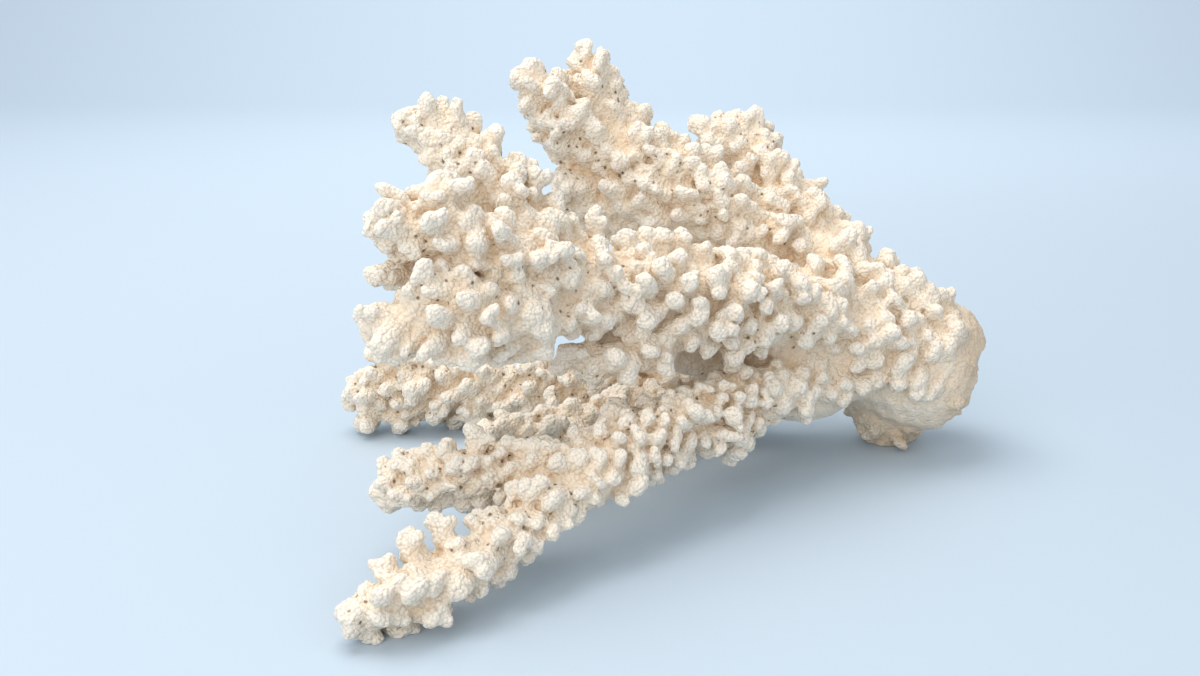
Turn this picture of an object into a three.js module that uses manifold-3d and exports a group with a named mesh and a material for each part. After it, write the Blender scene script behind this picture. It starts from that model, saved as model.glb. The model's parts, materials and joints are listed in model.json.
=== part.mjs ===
// A dried white branching coral, broken off at its base and lying on its side.
// The broken base is at +X, the branches fan out towards -X, and -Y faces the viewer.
// It rests at z = 0 on the heel under its base, on one fork tip and on the back branch.
import * as THREE from 'three';
import { mergeVertices } from 'three/addons/utils/BufferGeometryUtils.js';
import Module from 'manifold-3d';

const wasm = await Module();
wasm.setup();

// Driving dimensions, in millimetres
const CENTRE_X = 18; // the routes' own x of the middle of the coral
const CENTRE_Y = 2; // the routes' own y of the middle of the coral
const SPLIT_GAP = 0.35; // between two branches where they part
const LIMB_SIDES = 6;
const TWIG_SIDES = 4;
const KNOB_PITCH = 22; // between two knobs of a limb
const KNOB_LENGTH = 6;
const KNOB_RADIUS = 3.2;
const KNOB_SHARE = 0.45; // the widest knob, as a share of its limb's radius
const KNOB_LIMB = 5; // limbs thinner than this in radius carry no knobs
const KNOB_LEAN = 0.7; // forward part of a knob's direction, beside 1 outward
const KNOB_CLEARANCE = 7; // between the tips of two knobs
const GOLDEN_TURN = 137.5 * Math.PI / 180;
const FLOOR_BOX = 400; // side of the block that cuts the coral flat at the floor

const CORAL = { color: 0xf3e9d8, roughness: 0.85, metalness: 0 };

// A route is a list of points [x, y, z, radius] along the middle of a limb.
// A twig is [root, tip, radius]: a finger or lump that stands out of its limb.
// A branch's first route starts inside its parent, which keeps the first step of it as a stub.
const BRANCHES = [
  {
    name: 'crest_branch', parent: 'base',
    routes: [
      [[69, 62, 57, 13], [61, 70, 70, 11.5], [52, 75, 82, 9.5], [46, 77, 93, 7], [44, 77, 99, 4.5]],
      [[48, 76, 88, 6.5], [38, 76, 95, 5], [31, 75, 99, 3.4]],
      [[48, 77, 91, 5], [51, 78, 99, 3.5], [50, 78, 103, 2.8]],
    ],
    twigs: [
      [[56, 73, 79], [61, 75, 84], 3], [[52, 75, 85], [57, 76, 91], 2.8],
      [[48, 77, 93], [52, 78, 95], 2.4], [[50, 72, 84], [43, 63, 86], 3],
      [[47, 76, 91], [42, 68, 93], 2.6], [[60, 70, 72], [67, 72, 77], 3.2],
    ],
  },
  {
    name: 'top_branch', parent: 'base',
    routes: [
      [[64, 54, 54, 13], [46, 55, 67, 12.5], [30, 56, 78, 12.5], [14, 58, 88, 11.5],
       [4, 60, 96, 9.5]],
      [[28, 54, 73, 10], [12, 54, 77, 9.5], [2, 54, 79, 8.5], [-6, 53, 83, 7], [-10, 52, 85, 5]],
    ],
    twigs: [
      [[38, 58, 76], [39, 60, 84], 3], [[31, 58, 81], [34, 60, 90], 3],
      [[23, 60, 87], [26, 62, 97], 2.8], [[17, 60, 92], [20, 62, 101], 2.8],
      [[11, 60, 96], [14, 62, 106], 2.6], [[9, 56, 89], [5, 45, 91], 3.4],
      [[-6, 53, 83], [-13, 52, 81], 3],
    ],
  },
  {
    name: 'top_branch_tip', parent: 'top_branch',
    routes: [
      [[6, 60, 95, 8], [-1, 62, 107, 6.5], [-4, 63, 117, 5.5], [-5, 63, 124, 3]],
    ],
    twigs: [
      [[-1, 62, 110], [4, 62, 118], 2.6], [[-2, 63, 116], [-9, 62, 120], 2.4],
      [[1, 62, 106], [7, 62, 111], 2.6],
    ],
  },
  {
    name: 'top_branch_horn', parent: 'top_branch',
    routes: [
      [[6, 57, 91, 8], [-8, 55, 98, 7.5], [-17, 54, 107, 7], [-20, 53, 117, 4]],
    ],
    twigs: [
      [[-15, 54, 107], [-23, 54, 110], 3], [[-14, 54, 104], [-21, 53, 101], 3],
      [[-9, 55, 99], [-16, 53, 95], 3], [[-12, 53, 107], [-9, 52, 111], 2.8],
    ],
  },
  {
    name: 'middle_branch', parent: 'base',
    routes: [
      [[70, 40, 42, 17], [46, 22, 51, 14], [28, 8, 56, 13], [11, -2, 61, 12], [-3, -9, 64, 10.5],
       [-10, -14, 68, 9]],
      [[22, 2, 52, 9], [8, -8, 48, 8], [-1, -14, 45, 5.5]],
    ],
    twigs: [
      [[0, -8, 70], [-1, -8, 86], 2.2], [[-6, -11, 73], [-7, -10, 85], 2.2],
      [[7, 0, 68], [7, 2, 78], 2.6], [[13, 3, 67], [12, 5, 78], 2.6],
      [[17, 6, 67], [17, 8, 77], 2.5], [[23, 8, 67], [22, 11, 77], 2.6],
      [[28, 10, 66], [27, 12, 72], 2.8], [[33, 14, 64], [32, 16, 70], 2.8],
      [[6, -10, 65], [-2, -19, 55], 2.9], [[13, -6, 62], [8, -15, 52], 2.9],
      [[18, -2, 54], [17, -13, 52], 3.2], [[25, 2, 56], [22, -10, 54], 2.8],
      [[-4, -13, 67], [-9, -21, 72], 3.2], [[-3, -12, 62], [-8, -21, 65], 3.2],
      [[38, 14, 48], [32, 2, 49], 3.4], [[3, -10, 48], [3, -18, 47], 3.2],
      [[10, -6, 47], [11, -14, 45], 3.2], [[-5, -12, 47], [-10, -18, 50], 3.4],
      [[0, -12, 45], [-3, -17, 42], 3],
    ],
  },
  {
    name: 'middle_fork_head', parent: 'middle_branch',
    routes: [
      [[-7, -10, 68, 9.5], [-17, -12, 76, 9], [-24, -12, 85, 8.5], [-31, -10, 94, 7.5],
       [-37, -9, 101, 6]],
      [[-36, -9, 100, 6], [-42, -9, 106, 5.8], [-48, -9, 107, 4.8]],
      [[-30, -9, 97, 5], [-27, -8, 104, 3.6]],
      [[-36, -11, 99, 4.5], [-43, -15, 100, 3.2]],
    ],
    twigs: [
      [[-17, -12, 85], [-17, -12, 96], 2.6], [[-21, -11, 90], [-21, -10, 100], 2.7],
      [[-17, -11, 79], [-12, -9, 89], 2.8], [[-37, -9, 104], [-37, -9, 109], 2.2],
      [[-18, -14, 83], [-18, -23, 85], 3.6], [[-18, -14, 75], [-19, -23, 77], 3.6],
      [[-31, -12, 94], [-32, -18, 100], 3.2], [[-43, -10, 106], [-46, -12, 102], 3],
    ],
  },
  {
    name: 'middle_fork_arm', parent: 'middle_branch',
    routes: [
      [[-10, -16, 69, 8.5], [-21, -28, 76, 8], [-31, -34, 81, 7.5], [-41, -37, 85, 6.5],
       [-49, -38, 87, 5], [-54, -38, 88, 3.2]],
      [[-35, -34, 82, 5.5], [-38, -34, 91, 5], [-39, -34, 96, 4]],
      [[-27, -30, 75, 5], [-41, -33, 74, 3.6], [-54, -34, 74, 2.6]],
    ],
    twigs: [
      [[-46, -37, 85], [-52, -38, 83], 3], [[-41, -37, 84], [-44, -39, 80], 2.8],
      [[-31, -34, 82], [-32, -40, 88], 3.4], [[-38, -34, 92], [-41, -35, 96], 2.4],
      [[-49, -33, 74], [-50, -34, 77], 1.8],
    ],
  },
  {
    name: 'middle_fork_hand', parent: 'middle_branch',
    routes: [
      [[-8, -14, 63, 9], [-20, -32, 64, 8.5], [-31, -42, 65, 8], [-40, -46, 65, 7],
       [-47, -48, 65, 5], [-54, -49, 64, 3]],
      [[-29, -42, 67, 5], [-37, -47, 72, 4.5], [-43, -48, 73, 3.6]],
      [[-30, -42, 63, 5], [-36, -43, 58, 4.2]],
      [[-16, -30, 61, 5.5], [-24, -32, 56, 4]],
    ],
    twigs: [
      [[-24, -36, 65], [-21, -40, 69], 2.8], [[-35, -45, 70], [-36, -46, 74], 2.6],
      [[-45, -47, 63], [-46, -48, 58], 3], [[-35, -43, 61], [-35, -44, 56], 3],
      [[-25, -32, 57], [-26, -34, 54], 3], [[-19, -30, 59], [-20, -30, 53], 2.8],
      [[-20, -33, 64], [-17, -41, 65], 4.2],
    ],
  },
  {
    name: 'front_branch', parent: 'base',
    routes: [
      [[65, 34, 26, 12], [46, 15, 27, 10], [29, -3, 27, 9], [13, -18, 26, 9], [1, -30, 24, 9],
       [-6, -38, 21, 7.5]],
    ],
    twigs: [
      [[42, 12, 27], [49, 6, 26], 3.4], [[38, 8, 26], [42, 4, 16], 3.2],
      [[27, -4, 27], [29, -8, 18], 3.2], [[18, -14, 25], [20, -18, 18], 3.2],
      [[11, -20, 25], [13, -24, 16], 3], [[3, -28, 23], [5, -31, 16], 3],
      [[42, 14, 28], [39, 12, 37], 3.6], [[32, 0, 29], [30, 0, 36], 3.2],
      [[-4, -36, 23], [-6, -42, 29], 3],
    ],
  },
  {
    name: 'front_fork_upper', parent: 'front_branch',
    routes: [
      [[-2, -35, 23, 7], [-14, -36, 23, 6.5], [-25, -36, 23, 6.5], [-38, -36, 22, 6],
       [-51, -35, 20, 4.5], [-56, -34, 18, 2.8]],
    ],
    twigs: [
      [[-51, -35, 21], [-51, -35, 28], 2.3], [[-47, -35, 22], [-46, -35, 29], 2.3],
      [[-42, -36, 23], [-43, -36, 30], 2.3], [[-38, -36, 23], [-38, -36, 32], 2.4],
      [[-31, -36, 24], [-31, -36, 36], 2.4], [[-25, -36, 24], [-23, -37, 33], 2.6],
      [[-19, -36, 24], [-17, -38, 32], 2.8], [[-51, -35, 18], [-54, -35, 13], 2.4],
      [[-44, -36, 19], [-46, -37, 14], 2.6], [[-33, -36, 18], [-35, -37, 14], 2.6],
    ],
  },
  {
    name: 'front_fork_lower', parent: 'front_branch',
    routes: [
      [[-3, -37, 22, 7], [-12, -46, 19, 6.8], [-20, -55, 16, 6.3], [-29, -64, 12, 5.8],
       [-40, -73, 9, 5.2], [-49, -79, 8, 5], [-54, -80, 7, 4.5]],
    ],
    twigs: [
      [[-32, -65, 13], [-39, -60, 22], 2.5], [[-37, -68, 11], [-45, -66, 20], 2.6],
      [[-42, -74, 9], [-51, -72, 16], 2.5], [[-44, -75, 7], [-47, -76, -1], 3],
      [[-38, -71, 8], [-38, -73, 2], 2.6], [[-31, -66, 11], [-31, -68, 4], 2.6],
      [[-25, -60, 13], [-24, -61, 5], 2.6], [[-19, -55, 16], [-18, -56, 8], 2.6],
      [[-50, -78, 8], [-53, -78, 12], 2.6], [[-51, -79, 6], [-55, -80, 2], 3],
      [[-25, -58, 15], [-29, -55, 21], 2.8], [[-13, -48, 19], [-10, -50, 14], 2.8],
    ],
  },
  {
    name: 'back_branch', parent: 'base',
    routes: [
      [[65, 48, 20, 13], [45, 58, 14, 10], [20, 64, 12, 9.5], [-7, 66, 13, 9], [-33, 66, 13, 8.5],
       [-56, 65, 14, 8], [-74, 63, 15, 6.5], [-80, 62, 14, 4.5]],
      [[-59, 64, 18, 5], [-68, 62, 24, 4.2], [-73, 62, 28, 3.2]],
    ],
    twigs: [
      [[33, 60, 15], [32, 58, 24], 3.4], [[20, 62, 15], [18, 60, 26], 3.4],
      [[7, 63, 15], [4, 60, 26], 3.2], [[-7, 64, 15], [-9, 62, 26], 3.2],
      [[-20, 65, 15], [-23, 62, 25], 3.2], [[-33, 65, 16], [-35, 63, 25], 3],
      [[-44, 65, 16], [-47, 63, 25], 3], [[-54, 64, 17], [-57, 62, 26], 3],
      [[-65, 62, 21], [-61, 60, 29], 2.4], [[-73, 62, 16], [-78, 60, 21], 2.6],
      [[-72, 62, 11], [-79, 60, 3], 3.6], [[-64, 63, 12], [-66, 60, 1], 3.4],
      [[-52, 62, 12], [-54, 56, 6], 3], [[-39, 62, 11], [-41, 58, 3], 3],
      [[-48, 66, 12], [-50, 71, 1], 3.4],
    ],
  },
  {
    name: 'back_branch_spur', parent: 'back_branch',
    routes: [
      [[29, 58, 12, 7.5], [14, 42, 13, 7], [-3, 24, 15, 6.5], [-17, 10, 17, 6], [-28, 2, 20, 4.5],
       [-33, -1, 22, 2.8]],
    ],
    twigs: [
      [[-23, 6, 18], [-24, 4, 25], 2.4], [[-16, 12, 18], [-17, 10, 25], 2.6],
      [[-7, 20, 16], [-9, 18, 24], 2.8], [[2, 30, 14], [-1, 27, 23], 2.8],
      [[-3, 22, 15], [-5, 18, 10], 2.6],
    ],
  },
  {
    name: 'base',
    routes: [
      [[113, 50, 24, 18], [103, 50, 27, 21.5], [89, 48, 32, 23], [74, 45, 39, 21.5],
       [59, 40, 46, 17]],
      [[102, 48, 34, 12], [109, 47, 37, 10], [114, 47, 37, 6.5]],
      [[91, 54, 19, 14], [93, 56, 5, 9.5], [94, 56, -2, 8]],
      [[79, 54, 47, 16], [68, 58, 58, 14.5]],
      [[76, 42, 29, 15], [60, 30, 25, 12]],
    ],
    twigs: [
      [[78, 56, 62], [81, 58, 70], 3.2], [[87, 52, 55], [90, 54, 62], 3.2],
      [[72, 60, 66], [71, 62, 75], 3.2], [[95, 50, 51], [98, 50, 57], 3],
      [[61, 44, 52], [55, 30, 61], 3.6],
    ],
  },
];
const BARE_UNDERSIDE = -0.35; // knobs of the base stay off where the surface faces down
const BARE_END_X = 106; // and off the broken end beyond this x of the routes

const fraction = (value) => value - Math.floor(value);
const toPoint = ([x, y, z]) => new THREE.Vector3(x - CENTRE_X, y - CENTRE_Y, z);

// Factor that gives a ring of flat sides the area of a round one.
const roundGain = (sides) => Math.sqrt(2 * Math.PI / (sides * Math.sin(2 * Math.PI / sides)));

// The middle line of a limb: places, directions and radii by station, which counts route points.
class Limb {
  constructor(route) {
    this.curve = new THREE.CatmullRomCurve3(route.map(toPoint), false, 'catmullrom', 0.5);
    this.radii = route.map((point) => point[3]);
    this.last = route.length - 1;
    const chord = this.curve.getPoint(1).sub(this.curve.getPoint(0));
    const sizes = chord.toArray().map(Math.abs);
    this.reference = new THREE.Vector3().setComponent(sizes.indexOf(Math.min(...sizes)), 1);
  }

  radius(station) {
    const i = Math.min(Math.floor(station), this.last - 1);
    return THREE.MathUtils.lerp(this.radii[i], this.radii[i + 1], station - i);
  }

  // Directions at a station: tangent, and two across it that keep right-hand order.
  frame(station) {
    const origin = this.curve.getPoint(station / this.last);
    const tangent = this.curve.getTangent(station / this.last);
    const across = this.reference.clone()
      .addScaledVector(tangent, -this.reference.dot(tangent)).normalize();
    return { origin, tangent, across, beside: across.clone().cross(tangent) };
  }

  // The place of a point that lies `along` stations on, and (a, b) across; beyond an end, in mm.
  place(a, along, b) {
    const station = THREE.MathUtils.clamp(along, 0, this.last);
    const { origin, tangent, across, beside } = this.frame(station);
    return origin.addScaledVector(across, a).addScaledVector(beside, b)
      .addScaledVector(tangent, along - station);
  }
}

// A closed geometry as a solid that can be joined and cut.
function toSolid(geometry) {
  geometry.deleteAttribute('normal');
  geometry.deleteAttribute('uv');
  const merged = mergeVertices(geometry, 1e-4);
  const index = Array.from(merged.index.array);
  const corners = [];
  for (let i = 0; i < index.length; i += 3) {
    const [a, b, c] = index.slice(i, i + 3);
    if (a !== b && b !== c && c !== a) corners.push(a, b, c);
  }
  return new wasm.Manifold(new wasm.Mesh({
    numProp: 3,
    vertProperties: new Float32Array(merged.attributes.position.array),
    triVerts: new Uint32Array(corners),
  }));
}

// A lathe-turned limb bent along its route, flat at its start and round at its end.
// `from` and `to` are stations; `grow` makes it that much fatter and longer at its start.
function limbSolid(limb, from, to, grow) {
  const gain = roundGain(LIMB_SIDES);
  const ring = (station) => (limb.radius(station) + grow) * gain;
  const stations = Array.from({ length: to - from + 1 }, (_, i) => from + i);
  const tip = limb.radius(to) + grow;
  const profile = stations.map((station) => new THREE.Vector2(ring(station), station));
  profile[0].y = from === 0 ? -grow : from;
  profile.unshift(new THREE.Vector2(0, profile[0].y));
  if (to === limb.last) {
    profile.push(new THREE.Vector2(0.75 * tip * gain, to + 0.6 * tip));
    profile.push(new THREE.Vector2(0, to + tip));
  } else {
    profile.push(new THREE.Vector2(0, to));
  }
  const geometry = new THREE.LatheGeometry(profile, LIMB_SIDES);
  const position = geometry.attributes.position;
  for (let i = 0; i < position.count; i += 1) {
    const place = limb.place(position.getX(i), position.getY(i), position.getZ(i));
    position.setXYZ(i, place.x, place.y, place.z);
  }
  return toSolid(geometry);
}

// A four-sided finger with a blunt tip, a little thicker at its root.
function twigSolid({ root, tip, radius }, grow = 0) {
  const size = (radius + grow) * roundGain(TWIG_SIDES);
  const length = root.distanceTo(tip);
  const profile = [
    new THREE.Vector2(0, 0), new THREE.Vector2(1.1 * size, 0),
    new THREE.Vector2(0.9 * size, length + 0.2 * radius),
    new THREE.Vector2(0, length + 0.9 * radius + grow),
  ];
  const geometry = new THREE.LatheGeometry(profile, TWIG_SIDES);
  const turn = new THREE.Quaternion().setFromUnitVectors(
    new THREE.Vector3(0, 1, 0), tip.clone().sub(root).normalize());
  geometry.applyQuaternion(turn).translate(root.x, root.y, root.z);
  return toSolid(geometry);
}

// Knobs of a limb on a golden spiral, each leaning towards the limb's end.
function spiralKnobs(limb, from, to) {
  const knobs = [];
  let station = from + 0.35;
  for (let k = 0; station < to && limb.radius(station) > KNOB_LIMB; k += 1) {
    const { origin, tangent, across, beside } = limb.frame(station);
    const radius = limb.radius(station);
    const out = across.multiplyScalar(Math.cos(k * GOLDEN_TURN))
      .addScaledVector(beside, Math.sin(k * GOLDEN_TURN));
    const length = KNOB_LENGTH * (0.75 + 0.5 * fraction(k * 0.618));
    const width = KNOB_RADIUS * (0.85 + 0.3 * fraction(k * 0.755));
    knobs.push({
      root: origin.clone().addScaledVector(out, 0.55 * radius),
      tip: origin.clone().addScaledVector(out, radius + 0.55 * length)
        .addScaledVector(tangent, KNOB_LEAN * length),
      radius: Math.min(width, KNOB_SHARE * radius),
      out,
    });
    const step = limb.curve.getPoint(Math.min(1, (station + 0.5) / limb.last)).distanceTo(origin) / 0.5;
    station += KNOB_PITCH ** 2 / (2 * Math.PI * radius * step);
  }
  return knobs;
}

// The fingers and knobs of a branch: its own twigs, then the spiral knobs that fit between.
function branchTwigs(branch, limbs) {
  const twigs = branch.twigs
    .map(([root, tip, radius]) => ({ root: toPoint(root), tip: toPoint(tip), radius }));
  for (const { limb, from, to } of limbs) {
    for (const knob of spiralKnobs(limb, from, to)) {
      const bare = branch.name === 'base'
        && (knob.out.z < BARE_UNDERSIDE || knob.tip.x > BARE_END_X - CENTRE_X);
      const crowded = twigs.some((twig) => twig.tip.distanceTo(knob.tip) < KNOB_CLEARANCE);
      if (!bare && !crowded && knob.tip.z > KNOB_RADIUS) twigs.push(knob);
    }
  }
  return twigs;
}

// Everything below the floor is cut away, so that what touches it rests flat.
const floorBlock = toSolid(new THREE.BoxGeometry(FLOOR_BOX, FLOOR_BOX, FLOOR_BOX)
  .translate(0, 0, -FLOOR_BOX / 2));

// The limbs that belong to a branch: its own from where it leaves its parent, and its children's stubs.
function branchLimbs(branch) {
  const own = branch.routes.map((route, order) => {
    const limb = new Limb(route);
    return { limb, from: branch.parent && order === 0 ? 1 : 0, to: limb.last };
  });
  const stubs = BRANCHES.filter((other) => other.parent === branch.name)
    .map((child) => ({ limb: new Limb(child.routes[0]), from: 0, to: 1 }));
  return [...own, ...stubs];
}

// The whole solid of a branch, made fatter all over by `grow`.
function branchSolid(limbs, twigs, grow = 0) {
  const parts = limbs.map(({ limb, from, to }) => limbSolid(limb, from, to, grow));
  for (const twig of twigs) parts.push(twigSolid(twig, grow));
  return wasm.Manifold.union(parts).subtract(floorBlock);
}

function largestPiece(solid) {
  return solid.decompose().reduce((best, piece) => (piece.volume() > best.volume() ? piece : best));
}

function toMesh(name, solid) {
  const { vertProperties, triVerts, numProp } = solid.getMesh();
  const geometry = new THREE.BufferGeometry();
  const corners = Array.from({ length: vertProperties.length / numProp },
    (_, i) => Array.from(vertProperties.slice(i * numProp, i * numProp + 3))).flat();
  geometry.setAttribute('position', new THREE.Float32BufferAttribute(corners, 3));
  geometry.setIndex(Array.from(triVerts));
  geometry.computeVertexNormals();
  const mesh = new THREE.Mesh(geometry, new THREE.MeshStandardMaterial(CORAL));
  mesh.name = name;
  return mesh;
}

const coral = new THREE.Group();
const taken = [];
for (const branch of BRANCHES) {
  const limbs = branchLimbs(branch);
  const twigs = branchTwigs(branch, limbs);
  let solid = branchSolid(limbs, twigs);
  for (const other of taken) solid = solid.subtract(other);
  taken.push(branchSolid(limbs, twigs, SPLIT_GAP));
  coral.add(toMesh(branch.name, largestPiece(solid)));
}

export default coral;
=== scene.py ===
"""White branching coral, broken off at its base and lying on its side.

The coral is grown as one distance field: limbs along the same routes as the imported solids, fingers
and knobs on the limbs, rounded nubs on the fingers and small cups in the sheltered flanks.  The
field becomes one surface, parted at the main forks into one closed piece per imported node.
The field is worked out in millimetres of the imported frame, and the meshes are in metres.
"""

from __future__ import annotations

import json
import logging
import math
from collections.abc import Iterator
from dataclasses import dataclass, field
from enum import Enum

import bpy
import numpy as np
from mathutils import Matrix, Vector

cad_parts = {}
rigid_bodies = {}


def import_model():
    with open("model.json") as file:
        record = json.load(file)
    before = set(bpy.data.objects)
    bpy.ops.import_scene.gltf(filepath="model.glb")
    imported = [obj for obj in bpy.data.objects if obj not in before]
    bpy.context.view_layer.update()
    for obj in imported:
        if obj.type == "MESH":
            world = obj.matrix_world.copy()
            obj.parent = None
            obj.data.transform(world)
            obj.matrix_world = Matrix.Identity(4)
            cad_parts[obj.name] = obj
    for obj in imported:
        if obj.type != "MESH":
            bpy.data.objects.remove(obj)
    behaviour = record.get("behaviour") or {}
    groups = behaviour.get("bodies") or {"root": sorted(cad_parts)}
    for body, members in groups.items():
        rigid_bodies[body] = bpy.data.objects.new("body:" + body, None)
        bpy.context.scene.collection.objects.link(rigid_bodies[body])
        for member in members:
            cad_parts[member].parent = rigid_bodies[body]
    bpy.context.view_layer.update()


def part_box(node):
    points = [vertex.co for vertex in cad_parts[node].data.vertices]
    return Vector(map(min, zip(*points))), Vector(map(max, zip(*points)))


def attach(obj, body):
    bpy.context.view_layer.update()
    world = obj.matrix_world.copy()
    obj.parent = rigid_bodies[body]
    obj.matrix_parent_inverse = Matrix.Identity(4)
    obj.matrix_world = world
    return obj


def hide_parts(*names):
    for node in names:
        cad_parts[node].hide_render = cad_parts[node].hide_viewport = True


LOG = logging.getLogger("coral")

MM = 0.001
CENTRE = np.array([18.0, 2.0, 0.0])  # the routes' own x and y of the middle of the coral, mm
GOLDEN_TURN = math.radians(137.5)
SEED = 11

Point = tuple[float, float, float]
RoutePoint = tuple[float, float, float, float]
Twig = tuple[Point, Point, float]
Window = tuple[slice, slice, slice]


@dataclass(frozen=True)
class Branch:
    """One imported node: routes of limbs (x, y, z, radius) and twigs (root, tip, radius), mm."""

    name: str
    parent: str
    routes: tuple[tuple[RoutePoint, ...], ...]
    twigs: tuple[Twig, ...]


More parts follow.
